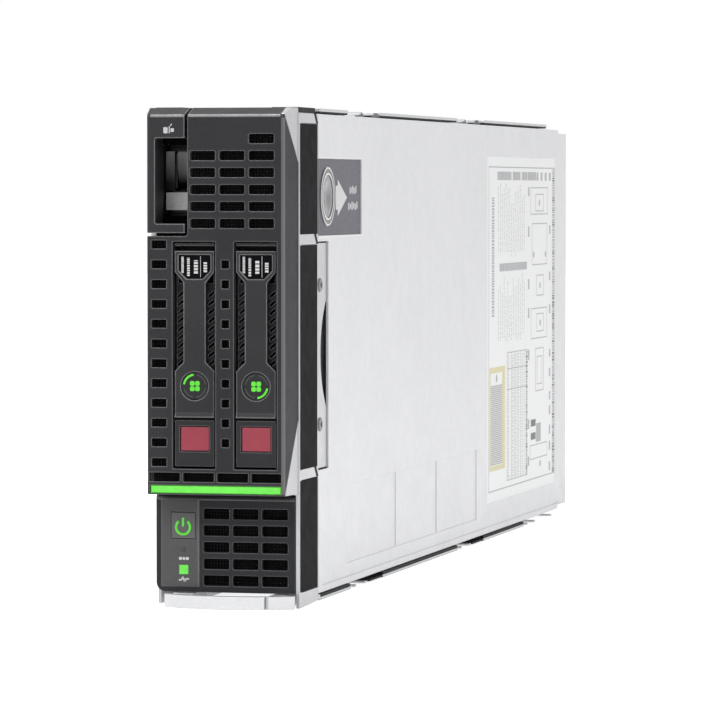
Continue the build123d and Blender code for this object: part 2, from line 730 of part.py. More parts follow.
def chassis_tray():
    """Folded tray: the left side with the top and lower walls, open towards the access panel."""
    body = block(-HALF, TRAY_RIGHT, TRAY_FRONT, DEPTH, TRAY_FOOT, TRAY_TOP)
    corners = body.edges().filter_by(Axis.Y).group_by(Axis.X)[0]
    body = fillet(corners, BEND)
    body -= block(TRAY_IN_LEFT, WIDTH, TRAY_FRONT - GAP, DEPTH + GAP, TRAY_IN_FOOT, TRAY_IN_TOP)
    step = DEPTH - REAR_STEP_RUN
    body -= block(-WIDTH, WIDTH, step, DEPTH + GAP, PANEL_TOP - REAR_STEP_TOP, HEIGHT)
    body -= block(-WIDTH, WIDTH, step, DEPTH + GAP, 0, PANEL_FOOT + REAR_STEP_FOOT)
    return body


def hook(d, z_root, z_tip, bump_start, bump_run):
    """Two side outlines of a retention hook: a leaning tooth and a low arched bump."""
    tooth = outline((back(d), z_root), (back(d + TOOTH_RUN), z_root), (back(d + TOOTH_TIP), z_tip))
    arch = ThreePointArc(
        (back(d + bump_start), z_root), (back(d + bump_start + bump_run / 2), z_tip),
        (back(d + bump_start + bump_run), z_root))
    bump = make_face(arch + Line(arch @ 1, arch @ 0))
    return [tooth, bump]


def rail_pieces(sketch, top):
    """One rail section on the left, and on the right its root and the lip past the panel's flange."""
    left = side_prism(sketch, -RAIL_OUT, RAIL_W - RAIL_OUT)
    root_x = HALF - PANEL_FLANGE - GAP
    root = side_prism(sketch, RAIL_OUT - RAIL_W, root_x)
    z0, z1 = (HEIGHT - RAIL_LIP, HEIGHT) if top else (0, RAIL_LIP)
    lip = side_prism(sketch, root_x, RAIL_OUT) & block(0, WIDTH, 0, DEPTH, z0, z1)
    return [left, root] + lip.solids()


def guide_rails():
    """Rails and hooks along the top and the foot of the tray."""
    parts = []
    for d0, d1 in TOP_SPANS:
        parts += rail_pieces(flat_rect(back(d0), back(d1), TRAY_TOP, HEIGHT), True)
    for d0, d1 in FOOT_SPANS:
        parts += rail_pieces(flat_rect(back(d0), back(d1), 0, TRAY_FOOT), False)
    for d in TOP_HOOKS:
        for sketch in hook(d, TRAY_TOP, HEIGHT - HOOK_DROP, TOP_BUMP_START, TOP_BUMP_RUN):
            parts += rail_pieces(sketch, True)
    for d in FOOT_HOOKS:
        for sketch in hook(d, TRAY_FOOT, HOOK_DROP, FOOT_BUMP_START, FOOT_BUMP_RUN):
            parts += rail_pieces(sketch, False)
    d0, d1 = WEDGE_SPAN
    wedge = outline((back(d0), TRAY_FOOT), (back(d1), TRAY_FOOT), (back(d1 - WEDGE_NOSE), HOOK_DROP))
    return parts + rail_pieces(wedge, False)


def rail_pads():
    """Dark pads in the line of the lower rails and on top of the frame."""
    parts = []
    for d0, d1 in PAD_SPANS:
        parts += rail_pieces(flat_rect(back(d0), back(d1), PAD_DROP, TRAY_FOOT), False)
    for x in (-RAIL_OUT, RAIL_OUT - RAIL_W):
        parts.append(block(x, x + RAIL_W, FRAME_FRONT + FRAME_LIP, TRAY_FRONT - 2 * GAP, PANEL_TOP, HEIGHT))
    return parts


def lower_bezel():
    """Lower front moulding with a left side wall, the control area and the second grille."""
    plate_rear = LOWER_FACE_D + LOWER_WALL
    body = block(-LOWER_HALF, LOWER_HALF, LOWER_FACE_D, FRAME_LEFT_START - GAP, LOWER_FOOT, LOWER_TOP)
    corner = body.edges().filter_by(Axis.Y).group_by(Axis.X)[0].sort_by(Axis.Z)[:1]
    body = fillet(corner, LOWER_CORNER)
    body -= block(-LOWER_HALF + BEZEL_WALL, WIDTH, plate_rear, FRAME_LEFT_START, 0, HEIGHT)
    face_y = back(LOWER_FACE_D)
    front = body.edges().filter_by_position(Axis.Y, face_y - GAP / 2, face_y + GAP / 2)
    body = fillet(front.filter_by(Axis.X).sort_by(Axis.Z)[-1:], LOWER_ROUND)
    box_half = HALF - 2 * SHEET - GAP
    body += block(-box_half, box_half, plate_rear, plate_rear + LOWER_BOX_DEPTH,
                  LOWER_CORNER + LOWER_FOOT, LOWER_TOP - SHEET)
    room = box_half - BEZEL_WALL
    body -= block(-room, room, plate_rear, plate_rear + 2 * LOWER_BOX_DEPTH,
                  LEVER_CEILING + SHEET + GAP, LOWER_TOP - SHEET - BEZEL_WALL)
    body += block(-LOWER_HALF + LOWER_ROUND, CONTROL_EDGE, LOWER_FACE_D - CONTROL_RISE, LOWER_FACE_D,
                  LOWER_FOOT + LOWER_ROUND, LOWER_TOP - LOWER_ROUND)
    body -= slots(LOWER_CELLS, LOWER_SLOT_W, LOWER_SLOT_H,
                  LOWER_FACE_D - SHEET, plate_rear + GAP, SLOT_CORNER)
    body -= front_prism(
        Pos(POWER_X, POWER_Z) * Rectangle(POWER_W + 2 * BUTTON_CLEAR, POWER_H + 2 * BUTTON_CLEAR),
        LOWER_FACE_D - SHEET, plate_rear + GAP)
    body -= front_prism(
        Pos(LIGHT_X, LIGHT_Z) * Rectangle(LIGHT_SIZE, LIGHT_SIZE), LOWER_FACE_D - SHEET, plate_rear + GAP)
    body -= rod_y(LIGHT_X, DOT_Z, LOWER_FACE_D - SHEET, plate_rear + GAP, DOT_R)
    return body


def power_button():
    """Power button with a flange behind the lower bezel."""
    face_d = LOWER_FACE_D - CONTROL_RISE - POWER_PROUD
    flange_d = LOWER_FACE_D + LOWER_WALL + GAP
    cap = front_prism(Pos(POWER_X, POWER_Z) * Rectangle(POWER_W, POWER_H), face_d, flange_d)
    cap = chamfer(cap.faces().sort_by(Axis.Y)[0].edges(), GAP)
    flange = Pos(POWER_X, POWER_Z) * Rectangle(POWER_W + 2 * BUTTON_FLANGE, POWER_H + 2 * BUTTON_FLANGE)
    return cap + front_prism(flange, flange_d, flange_d + SHEET)


def status_lights():
    """Square light and small dot beside the power button."""
    d0 = LOWER_FACE_D - CONTROL_RISE
    d1 = LOWER_FACE_D + LOWER_WALL + LOWER_BOX_DEPTH
    square = front_prism(Pos(LIGHT_X, LIGHT_Z) * Rectangle(LIGHT_SIZE, LIGHT_SIZE), d0 - LIGHT_PROUD, d1)
    dot = rod_y(LIGHT_X, DOT_Z, d0, d1, DOT_R)
    return [square, dot]


def control_board():
    """Small board behind the control area, with its switch under the power button."""
    board_d = LOWER_FACE_D + LOWER_WALL + LOWER_BOX_DEPTH
    body = block(CONTROL_BOARD_X, CONTROL_EDGE, board_d, board_d + BOARD_THICK,
                 CONTROL_BOARD_FOOT, LOWER_TOP - SHEET)
    body += block(CONTROL_BOARD_X, CONTROL_EDGE, board_d + BOARD_THICK, BULKHEAD_D,
                  POWER_Z, POWER_Z + SWITCH_STRAP)
    flange_rear = LOWER_FACE_D + LOWER_WALL + GAP + SHEET
    body += rod_y(POWER_X, POWER_Z, flange_rear + POWER_TRAVEL + GAP, board_d, SWITCH_R)
    return body


def bow_depth(x):
    """Depth of the bowed front line that the lever and its release button share."""
    return LEVER_FACE_D + BOW_R - math.sqrt(BOW_R ** 2 - (x - BOW_X) ** 2)


def bow_line(x0, x1, behind):
    """Piece of the bowed line, moved back by this much."""
    middle = (x0 + x1) / 2
    return ThreePointArc(*[(x, back(bow_depth(x) + behind)) for x in (x0, middle, x1)])


def bowed_plan(x0, x1, behind, *rest):
    """Plan behind the bowed line, closed through the points given as X and depth."""
    bow = bow_line(x0, x1, behind)
    points = [bow @ 1] + [(x, back(d)) for x, d in rest] + [bow @ 0]
    return make_face(bow + Polyline(*points))


def release_lever():
    """Bright bar along the foot, its arm, the eye round the pin and the hook."""
    front = bow_line(LEVER_LEFT, LEVER_RIGHT, 0)
    rear = bow_line(LEVER_LEFT, LEVER_RIGHT, LEVER_BAR)
    ends = Line(front @ 1, rear @ 1) + Line(rear @ 0, front @ 0)
    body = plan_prism(make_face(front + rear + ends), LEVER_FOOT, LEVER_TOP)
    left = LEVER_PIVOT_X - LEVER_EYE_R
    right = LEVER_PIVOT_X + LEVER_EYE_R
    arm_top = LEVER_FOOT + LEVER_ARM
    arm = bowed_plan(LEVER_LEFT, LEVER_RIGHT, LEVER_BAR / 2, (right, LEVER_PIVOT_D), (left, LEVER_PIVOT_D))
    hook_tip = outline(
        (left, back(LEVER_PIVOT_D)), (right, back(LEVER_PIVOT_D)),
        (left + HOOK_TIP_W, back(LEVER_PIVOT_D + HOOK_REACH)), (left, back(LEVER_PIVOT_D + HOOK_REACH)))
    body += plan_prism(arm, LEVER_FOOT, arm_top)
    body += plan_prism(hook_tip, LEVER_FOOT, arm_top)
    body += rod_z(LEVER_PIVOT_X, LEVER_PIVOT_D, LEVER_FOOT, LEVER_TOP, LEVER_EYE_R)
    body -= rod_z(LEVER_PIVOT_X, LEVER_PIVOT_D, 0, HEIGHT, LEVER_PIN_R + PIVOT_FIT)
    return body


def lever_pivot_pin():
    """Pin of the release lever, held in the frame's lower wall."""
    return rod_z(LEVER_PIVOT_X, LEVER_PIVOT_D, LEVER_FOOT + GAP, LEVER_CEILING, LEVER_PIN_R)


def lever_button():
    """Release button at the lever's right end, curved back towards the side, with a stem under the frame."""
    left = LEVER_RIGHT + RELEASE_GAP
    head_d = min(bow_depth(RELEASE_RIGHT) + RELEASE_HEAD, FRAME_FRONT - 2 * GAP - RELEASE_TRAVEL)
    plan = bowed_plan(
        left, RELEASE_RIGHT, 0, (RELEASE_RIGHT, head_d), (RELEASE_STEM_X, head_d),
        (RELEASE_STEM_X, RELEASE_REAR), (left, RELEASE_REAR))
    body = plan_prism(plan, LEVER_FOOT, LEVER_TOP)
    return chamfer(body.edges().filter_by(Axis.Z).group_by(Axis.X)[0].sort_by(Axis.Y)[:1], RELEASE_CUT)


def pull_tab():
    """C-shaped finger tab on a flat tongue."""
    body = NOSE & block(-WIDTH, TAB_RIGHT, -SHEET, TAB_DEPTH, TAB_FOOT, HEIGHT)
    inner = -FACE_HALF + TAB_ARM
    opening = flat_rect(inner, WIDTH, TAB_OPEN_FOOT, TAB_OPEN_TOP, TAB_OPEN_ROUND)
    body -= front_prism(opening, -SHEET, TAB_DEPTH + SHEET)
    body -= block(inner, TAB_RIGHT - BEZEL_WALL, FACE_WALL, TAB_DEPTH + SHEET,
                  TAB_OPEN_TOP + BEZEL_WALL, BEZEL_EDGE - BEZEL_WALL)
    body += block(TONGUE_LEFT, TONGUE_RIGHT, TAB_DEPTH - SHEET, TONGUE_REAR, TONGUE_FOOT, TONGUE_TOP)
    return body


def tab_guide():
    """Two channels on the tray's left wall that carry the pull tab's tongue."""
    parts = []
    for root, away in ((TONGUE_TOP + GAP, 1), (TONGUE_FOOT - GAP, -1)):
        z0, z1 = sorted((root, root + away * GUIDE_WALL))
        channel = block(TRAY_IN_LEFT, TONGUE_RIGHT + GAP + SHEET, TRAY_FRONT + FRAME_OVERLAP + GAP,
                        GUIDE_REAR, z0, z1)
        z0, z1 = sorted((root, root - away * GUIDE_LIP))
        for x0, x1 in ((TRAY_IN_LEFT, TONGUE_LEFT - GAP), (TONGUE_RIGHT + GAP, TONGUE_RIGHT + GAP + SHEET)):
            channel += block(x0, x1, TRAY_FRONT + FRAME_OVERLAP + GAP, GUIDE_REAR, z0, z1)
        parts.append(channel)
    return parts


def front_connector():
    """Connector behind the finger opening: solid foot, socket above it, flange on the bulkhead."""
    x0, x1 = FRONT_CONN_X
    z0, z1 = FRONT_CONN_Z
    d0, d1 = FRONT_CONN_D
    body = block(x0 + GAP, x1 - GAP, d0, d1, z0 + GAP, z1 - GAP)
    body += block(x0 - FRONT_CONN_LIP, x1 + FRONT_CONN_LIP, BULKHEAD_D - FRONT_CONN_LIP, BULKHEAD_D,
                  z0 - FRONT_CONN_LIP, z1 + FRONT_CONN_LIP)
    wall = GAP + FRONT_CONN_WALL
    top = z1 - wall
    foot = max(top - SOCKET_TALL, z0 + wall)
    body -= block(x0 + wall, x1 - wall, d0 - GAP, d0 + SOCKET_DEEP, foot, top)
    return body + block(x0 + wall, x0 + wall + BLADE_THICK, d0 + BLADE_SETBACK, d0 + SOCKET_DEEP,
                        foot + BLADE_IN, top - BLADE_IN)


def handle_outline(x):
    """Front outline of a drive handle: head, slim neck, wide base."""
    half = CARRIER_W / 2
    right = ((half, HANDLE_TOP), (half, HEAD_FOOT), (NECK_HALF, NECK_TOP), (NECK_HALF, NECK_FOOT),
             (half, BASE_TOP), (half, BASE_FOOT))
    points = [(x + u, z) for u, z in right] + [(x - u, z) for u, z in reversed(right)]
    return outline(*points)


def drive_handle(x):
    """Hinged dog-bone handle with its label window, round hole and knuckle."""
    half = CARRIER_W / 2
    d1 = HANDLE_FACE_D + HANDLE_THICK
    body = front_prism(handle_outline(x), HANDLE_FACE_D, d1)
    window = outline(
        (x - WINDOW_HALF, WINDOW_TOP), (x + WINDOW_HALF, WINDOW_TOP),
        (x + WINDOW_HALF, WINDOW_FOOT + WINDOW_CHAMFER), (x + WINDOW_HALF - WINDOW_CHAMFER, WINDOW_FOOT),
        (x - WINDOW_HALF + WINDOW_CHAMFER, WINDOW_FOOT), (x - WINDOW_HALF, WINDOW_FOOT + WINDOW_CHAMFER))
    body -= front_prism(window, HANDLE_FACE_D - GAP, HANDLE_FACE_D + WINDOW_DEEP)
    ledge = outline(
        (back(HANDLE_FACE_D), BASE_FOOT + HANDLE_LEDGE), (back(HANDLE_FACE_D - HANDLE_LEDGE / 2), BASE_FOOT),
        (back(d1), BASE_FOOT), (back(d1), BASE_FOOT + HANDLE_LEDGE))
    body += side_prism(ledge, x - half, x + half)
    body -= rod_y(x, RING_Z, HANDLE_FACE_D - GAP, d1 + GAP, RING_R + RING_CLEAR)
    inner = half - RELIEF_WALL - GAP
    body += rod_x(x - inner, x + inner, KNUCKLE_D, KNUCKLE_Z, KNUCKLE_R)
    body -= rod_x(x - half - SHEET, x + half + SHEET, KNUCKLE_D, KNUCKLE_Z, HANDLE_PIN_R + PIVOT_FIT)
    return body


def handle_pin(x):
    """Pin of a drive handle, held in the carrier's side walls."""
    half = CARRIER_W / 2
    return rod_x(x - half, x + half, KNUCKLE_D, KNUCKLE_Z, HANDLE_PIN_R)


def perforations(x):
    """Slanted slots in two columns beside the handle's neck."""
    holes = Sketch()
    half = CARRIER_W / 2
    middle = (half + NECK_HALF) / 2
    for side in (1, -1):
        for row in range(PERF_COUNT):
            u = x + side * middle
            z = PERF_FOOT + row * PERF_PITCH
            w = PERF_W / 2
            rise = PERF_SLANT
            holes += outline((u - w, z - rise), (u + w, z + rise),
                             (u + w, z + rise + PERF_H), (u - w, z - rise + PERF_H))
    return holes


def drive_carrier(x):
    """Carrier front with its side walls, the button frame and the two long rails."""
    half = CARRIER_W / 2
    body = block(x - half, x + half, CARRIER_FACE_D, CARRIER_REAR_D, CARRIER_FOOT, CARRIER_TOP)
    body -= block(x - half + RELIEF_WALL, x + half - RELIEF_WALL, CARRIER_FACE_D + CARRIER_SKIN,
                  CARRIER_REAR_D - SHEET, CARRIER_FOOT + SHEET, RELIEF_FOOT - SHEET)
    body -= block(x - half + RELIEF_WALL, x + half - RELIEF_WALL, CARRIER_FACE_D - GAP,
                  KNUCKLE_D + 2 * KNUCKLE_R, RELIEF_FOOT, RELIEF_TOP)
    body += block(x - half, x + half, FRAME_RAISED_D, CARRIER_FACE_D, CARRIER_FOOT, FRAME_RAISED_TOP)
    body += block(x - half, x + half, FRAME_RAISED_D, CARRIER_FACE_D, RELIEF_TOP, CARRIER_TOP)
    body -= front_prism(perforations(x), CARRIER_FACE_D - GAP, CARRIER_FACE_D + CARRIER_SKIN + GAP)
    body -= block(x - RED_HALF - BUTTON_CLEAR, x + RED_HALF + BUTTON_CLEAR,
                  FRAME_RAISED_D - GAP, CARRIER_FACE_D + CARRIER_SKIN + GAP,
                  RED_FOOT - BUTTON_CLEAR, RED_FOOT + RED_H + BUTTON_CLEAR)
    reach = 2 * SWING_R
    swept = Rot(0, 0, -HANDLE_SWING) * flat_rect(-reach, -SWING_FLAT, -reach, reach)
    swept = Pos(back(KNUCKLE_D), KNUCKLE_Z) * (swept & Circle(SWING_R))
    body -= side_prism(swept, x - half - SHEET, x + half + SHEET)
    body -= rod_x(x - half - SHEET, x + half + SHEET, KNUCKLE_D, KNUCKLE_Z, HANDLE_PIN_R)
    top_rail = DISK_FOOT + DISK_H
    for z0, z1 in ((DISK_FOOT - RAIL_H, DISK_FOOT), (top_rail, top_rail + RAIL_H)):
        body += block(x - RAIL_HALF, x + RAIL_HALF, CARRIER_REAR_D, DISK_FRONT + DISK_LENGTH, z0, z1)
    return body


def status_ring(x):
    """Round light unit on the carrier, seen through the handle's hole."""
    return rod_y(x, RING_Z, RING_D, CARRIER_FACE_D, RING_R)


def drive_button(x):
    """Red release button with a flange behind the carrier's skin."""
    skin_d = CARRIER_FACE_D + CARRIER_SKIN
    cap = block(x - RED_HALF, x + RED_HALF, RED_D, skin_d + GAP, RED_FOOT, RED_FOOT + RED_H)
    cap = chamfer(cap.faces().sort_by(Axis.Y)[0].edges(), GAP)
    over = RED_HALF + 2 * BUTTON_CLEAR + GAP
    lip = over - RED_HALF
    return cap + block(x - over, x + over, skin_d + GAP, skin_d + GAP + SHEET,
                       RED_FOOT - lip, RED_FOOT + RED_H + lip)


def disk(x):
    """Disk between the carrier's rails."""
    body = block(x - DISK_W / 2, x + DISK_W / 2, DISK_FRONT, DISK_FRONT + DISK_LENGTH,
                 DISK_FOOT, DISK_FOOT + DISK_H)
    return chamfer(body.edges().filter_by(Axis.Y), SHEET)


def drive_cage():
    """Sheet box round both drives, with ledges that guide the carriers' rails."""
    front = BULKHEAD_D + BULKHEAD_SHEET
    body = block(CAGE_LEFT, CAGE_RIGHT, front, CAGE_REAR, CAGE_FOOT - SHEET, CAGE_TOP)
    body -= block(CAGE_LEFT + CAGE_SHEET, CAGE_RIGHT - CAGE_SHEET, front - GAP, CAGE_REAR + GAP,
                  CAGE_FOOT, CAGE_TOP - CAGE_SHEET)
    middle = (BAY_X[0] + BAY_X[1]) / 2
    body += block(middle - CAGE_SHEET / 2, middle + CAGE_SHEET / 2, front, CAGE_REAR, CAGE_FOOT, CAGE_TOP)
    low = DISK_FOOT - RAIL_H - GAP
    high = DISK_FOOT + DISK_H + RAIL_H + GAP
    for x in BAY_X:
        body += block(x - GUIDE_HALF, x + GUIDE_HALF, front, CAGE_REAR, CAGE_FOOT, low)
        body += block(x - GUIDE_HALF, x + GUIDE_HALF, front, CAGE_REAR, high, CAGE_TOP)
    for d in (front + 2 * RELIEF_HALF, CAGE_REAR - RELIEF_HALF):
        body += block(TRAY_IN_LEFT, CAGE_LEFT, d - SHEET, d + SHEET,
                      RELIEF_Z - RELIEF_HALF, RELIEF_Z + RELIEF_HALF)
    return body


def drive_backplane():
    """Board across the rear of the cage."""
    return block(CAGE_LEFT, CAGE_RIGHT, CAGE_REAR, CAGE_REAR + BACKPLANE_THICK, CAGE_FOOT, CAGE_TOP)


def backplane_connectors():
    """Connectors that meet the two disks."""
    parts = []
    for x in BAY_X:
        body = block(x - BACK_CONN_HALF, x + BACK_CONN_HALF, DISK_FRONT + DISK_LENGTH + GAP, CAGE_REAR,
                     BACK_CONN_FOOT, BACK_CONN_FOOT + BACK_CONN_H)
        body -= block(x - BACK_SLOT_HALF, x + BACK_SLOT_HALF,
                      DISK_FRONT + DISK_LENGTH, CAGE_REAR - BACK_FLOOR,
                      BACK_CONN_FOOT + SHEET, BACK_CONN_FOOT + BACK_CONN_H - SHEET)
        parts.append(body)
    return parts


def cage_bracket():
    """Bright plate that ties the cage to the frame, with a finger relief in its rear edge."""
    x1 = HALF - BRACKET_DROP
    x0 = x1 - SHEET
    plate = flat_rect(back(PANEL_FRONT), back(BRACKET_REAR), BRACKET_FOOT, BRACKET_TOP)
    radius = (RELIEF_HALF ** 2 + RELIEF_DEEP ** 2) / (2 * RELIEF_DEEP)
    plate -= Pos(back(BRACKET_REAR - RELIEF_DEEP) + radius, RELIEF_Z) * Circle(radius)
    body = side_prism(plate, x0, x1)
    for z in LUG_Z:
        body += block(CAGE_RIGHT, x0, LUG_D - LUG_W / 2, LUG_D + LUG_W / 2, z - LUG_H / 2, z + LUG_H / 2)
    return body


def access_panel():
    """Panel: flat sheet with long flanges, shallow fields, a label recess and the catch's hole."""
    sheet = flat_rect(back(PANEL_FRONT), back(DEPTH), PANEL_FOOT, PANEL_TOP)
    notch_rear = BRACKET_REAR + 2 * GAP
    sheet -= flat_rect(back(PANEL_FRONT) - SHEET, back(notch_rear),
                       BRACKET_FOOT - 2 * GAP, BRACKET_TOP + 2 * GAP)
    body = side_prism(sheet, PANEL_IN, HALF)
    flange_front = TRAY_FRONT + FRAME_OVERLAP
    for z0, z1 in ((PANEL_TOP - SHEET, PANEL_TOP), (PANEL_FOOT, PANEL_FOOT + SHEET)):
        body += block(HALF - PANEL_FLANGE, PANEL_IN, flange_front, DEPTH, z0, z1)
    corners = body.edges().filter_by(Axis.Y).group_by(Axis.X)[-1]
    outer = corners.sort_by(Axis.Z)
    body = fillet([outer[0], outer[-1]], PANEL_BEND)
    step = DEPTH - REAR_STEP_RUN
    body -= block(-WIDTH, WIDTH, step, DEPTH + GAP, PANEL_TOP - REAR_STEP_TOP, HEIGHT)
    body -= block(-WIDTH, WIDTH, step, DEPTH + GAP, 0, PANEL_FOOT + REAR_STEP_FOOT)
    field = flat_rect(back(PANEL_FRONT) - SHEET, back(FIELD_REAR), FIELD_FOOT, FIELD_TOP)
    body -= side_prism(field, HALF - FIELD_DEEP, HALF + GAP)
    label = flat_rect(back(LABEL_FRONT), back(LABEL_REAR), LABEL_FOOT, LABEL_TOP)
    body -= side_prism(label, HALF - LABEL_RECESS, HALF + GAP)
    body -= side_prism(emboss_lines(), HALF - EMBOSS_DEEP, HALF + GAP)
    body -= rod_x(PANEL_IN - GAP, HALF + GAP, CATCH_D, CATCH_Z, CATCH_R + CATCH_WALL)
    return body


def emboss_lines():
    """Shallow fields pressed into the panel near its foot, split by two ribs, and the line of its fold."""
    edges = (EMBOSS_FRONT,) + EMBOSS_RIBS + (EMBOSS_REAR,)
    fields = Sketch()
    for d0, d1 in zip(edges[:-1], edges[1:]):
        fields += flat_rect(back(d0 + EMBOSS_LINE / 2), back(d1 - EMBOSS_LINE / 2), EMBOSS_FOOT, EMBOSS_TOP)
    fields -= flat_rect(back(EMBOSS_FRONT - SHEET), back(EMBOSS_STEP_D), EMBOSS_STEP_Z, EMBOSS_TOP + SHEET)
    fields += flat_rect(back(TRAY_FRONT + FRAME_OVERLAP), back(DEPTH - REAR_STEP_RUN),
                        PANEL_LINE_Z - PANEL_LINE_W / 2, PANEL_LINE_Z + PANEL_LINE_W / 2)
    return fields


def service_label():
    """Blank label sheet in its recess on the panel."""
    sheet = flat_rect(back(LABEL_FRONT), back(LABEL_REAR), LABEL_FOOT, LABEL_TOP)
    floor = HALF - LABEL_RECESS
    return side_prism(sheet, floor, floor + LABEL_THICK)


def catch_ring():
    """Ring and sleeve that hold the catch button in the panel."""
    floor = HALF - FIELD_DEEP
    body = rod_x(floor, HALF, CATCH_D, CATCH_Z, CATCH_RING_R)
    body += rod_x(PANEL_IN - CATCH_SLEEVE, floor, CATCH_D, CATCH_Z, CATCH_R + CATCH_WALL)
    body -= rod_x(PANEL_IN - 2 * CATCH_SLEEVE, HALF + GAP, CATCH_D, CATCH_Z, CATCH_R + PIVOT_FIT)
    return body


def catch_button():
    """Dished round button with a flange behind its sleeve."""
    flange_x = PANEL_IN - CATCH_SLEEVE - GAP
    face_x = HALF - CATCH_SET
    body = rod_x(flange_x, face_x, CATCH_D, CATCH_Z, CATCH_R)
    body += rod_x(flange_x - CATCH_FLANGE, flange_x, CATCH_D, CATCH_Z, CATCH_R + CATCH_WALL)
    dish = Rot(0, 90, 0) * Cone(DISH_FLOOR_R, DISH_R, DISH_DEEP)
    return body - Pos(face_x - DISH_DEEP / 2, back(CATCH_D), CATCH_Z) * dish


def system_board():
    """Main board on its standoffs."""
    return block(BOARD_LEFT, BOARD_TOP_X, BOARD_FRONT, BOARD_REAR, BOARD_FOOT, BOARD_TOP)


def board_points():
    """Places of the board's standoffs."""
    depths = [BOARD_FRONT + STANDOFF_IN, (BOARD_FRONT + BOARD_REAR) / 2, BOARD_REAR - STANDOFF_IN]
    heights = [BOARD_FOOT + STANDOFF_IN, BOARD_TOP - STANDOFF_IN]
    return [(d, z) for d in depths for z in heights]


def board_standoffs():
    """Six-sided standoffs between the tray and the board."""
    return [side_prism(Pos(back(d), z) * RegularPolygon(STANDOFF_R, 6), TRAY_IN_LEFT, BOARD_LEFT)
            for d, z in board_points()]


def cpu_sockets():
    """Two processor sockets."""
    half = SOCKET_SIZE / 2
    x1 = BOARD_TOP_X + SOCKET_H
    return [block(BOARD_TOP_X, x1, d - half, d + half, BOARD_MID - half, BOARD_MID + half) for d in CPU_D]


def processors():
    """Two processors."""
    half = CPU_SIZE / 2
    x0 = BOARD_TOP_X + SOCKET_H
    return [block(x0, x0 + CPU_H, d - half, d + half, BOARD_MID - half, BOARD_MID + half) for d in CPU_D]


def heatsink(d):
    """Heatsink: base plate with clear corners and upright fins along the airflow."""
    half = SINK_LENGTH / 2
    low = BOARD_MID - SINK_H / 2
    high = BOARD_MID + SINK_H / 2
    body = block(SINK_BASE_X, SINK_BASE_X + SINK_BASE, d - half, d + half, low, high)
    fins = int((SINK_H - FIN_THICK) / FIN_PITCH) + 1
    first = BOARD_MID - (fins - 1) * FIN_PITCH / 2
    for index in range(fins):
        z = first + index * FIN_PITCH
        short = SINK_CORNER if z < low + SINK_CORNER or z > high - SINK_CORNER else 0
        body += block(SINK_BASE_X + SINK_BASE, SINK_TOP_X, d - half + short, d + half - short,
                      z - FIN_THICK / 2, z + FIN_THICK / 2)
    return body


def dimm_heights():
    """Heights of the memory sockets: one bank below the processors and one above."""
    low = BOARD_FOOT + BANK_MARGIN
    high = BOARD_TOP - BANK_MARGIN
    steps = range(DIMM_PER_BANK)
    return [low + index * DIMM_PITCH for index in steps] + [high - index * DIMM_PITCH for index in steps]


def dimm_space(d, z, rise):
    """Room of one memory module from its seat, this much in X."""
    x0 = BOARD_TOP_X + DIMM_SEAT
    return block(x0, x0 + rise, d - DIMM_LENGTH / 2, d + DIMM_LENGTH / 2,
                 z - DIMM_THICK / 2, z + DIMM_THICK / 2)


def dimm_sockets():
    """Memory sockets with a latch post at each end."""
    parts = []
    for d in CPU_D:
        for z in dimm_heights():
            body = block(BOARD_TOP_X, BOARD_TOP_X + DIMM_SOCKET_H, d - BANK_HALF, d + BANK_HALF,
                         z - DIMM_SOCKET_W / 2, z + DIMM_SOCKET_W / 2)
            for end in (1, -1):
                d0, d1 = sorted((d + end * (DIMM_LENGTH / 2 + GAP), d + end * BANK_HALF))
                body += block(BOARD_TOP_X + DIMM_SOCKET_H, BOARD_TOP_X + LATCH_H, d0, d1,
                              z - LATCH_W / 2, z + LATCH_W / 2)
            parts.append(body - dimm_space(d, z, LATCH_H - DIMM_SEAT))
    return parts


def memory_modules():
    """Boards of the memory modules, seated in their sockets."""
    return [dimm_space(d, z, DIMM_H) for d in CPU_D for z in dimm_heights()]


def air_baffle():
    """Clear cover that keeps the airflow on the memory: two decks, a bridge and legs to the board."""
    deck_x = BOARD_TOP_X + DIMM_SEAT + DIMM_H + BAFFLE_CLEAR
    d0 = CPU_D[0] - BAFFLE_HALF - BAFFLE_SHEET
    d1 = CPU_D[1] + BAFFLE_HALF + BAFFLE_SHEET
    sink_low = BOARD_MID - SINK_H / 2 - BAFFLE_FIT
    sink_high = BOARD_MID + SINK_H / 2 + BAFFLE_FIT
    body = Part()
    for z0, z1 in ((BOARD_FOOT, sink_low), (sink_high, BOARD_TOP)):
        leg = z0 + BAFFLE_LEG_Z
        body += block(deck_x, deck_x + BAFFLE_SHEET, d0, d1, z0, z1)
        body += block(BOARD_TOP_X, deck_x, d0, d0 + BAFFLE_SHEET, leg, leg + BAFFLE_LEG_W)
        body += block(BOARD_TOP_X, deck_x, d1 - BAFFLE_SHEET, d1, leg, leg + BAFFLE_LEG_W)
    bridge_half = (CPU_D[1] - CPU_D[0] - SINK_LENGTH) / 2 - BAFFLE_FIT
    middle = (CPU_D[0] + CPU_D[1]) / 2
    return body + block(deck_x, deck_x + BAFFLE_SHEET, middle - bridge_half, middle + bridge_half,
                        sink_low, sink_high)


def expansion_card(z):
    """Small card on its connector: board, chip cooler with short fins."""
    body = block(CARD_X, CARD_X + BOARD_THICK, CARD_FRONT, CARD_REAR, z - CARD_H / 2, z + CARD_H / 2)
    half = CARD_SINK_HALF
    x0 = CARD_X + BOARD_THICK
    x1 = x0 + CARD_SINK_BASE
    body += block(x0, x1, CARD_D - half, CARD_D + half, z - half, z + half)
    pitch = (2 * half - CARD_FIN) / (CARD_FINS - 1)
    for index in range(CARD_FINS):
        fin = z - half + index * pitch
        body += block(x1, x0 + CARD_SINK_H, CARD_D - half, CARD_D + half, fin, fin + CARD_FIN)
    return body


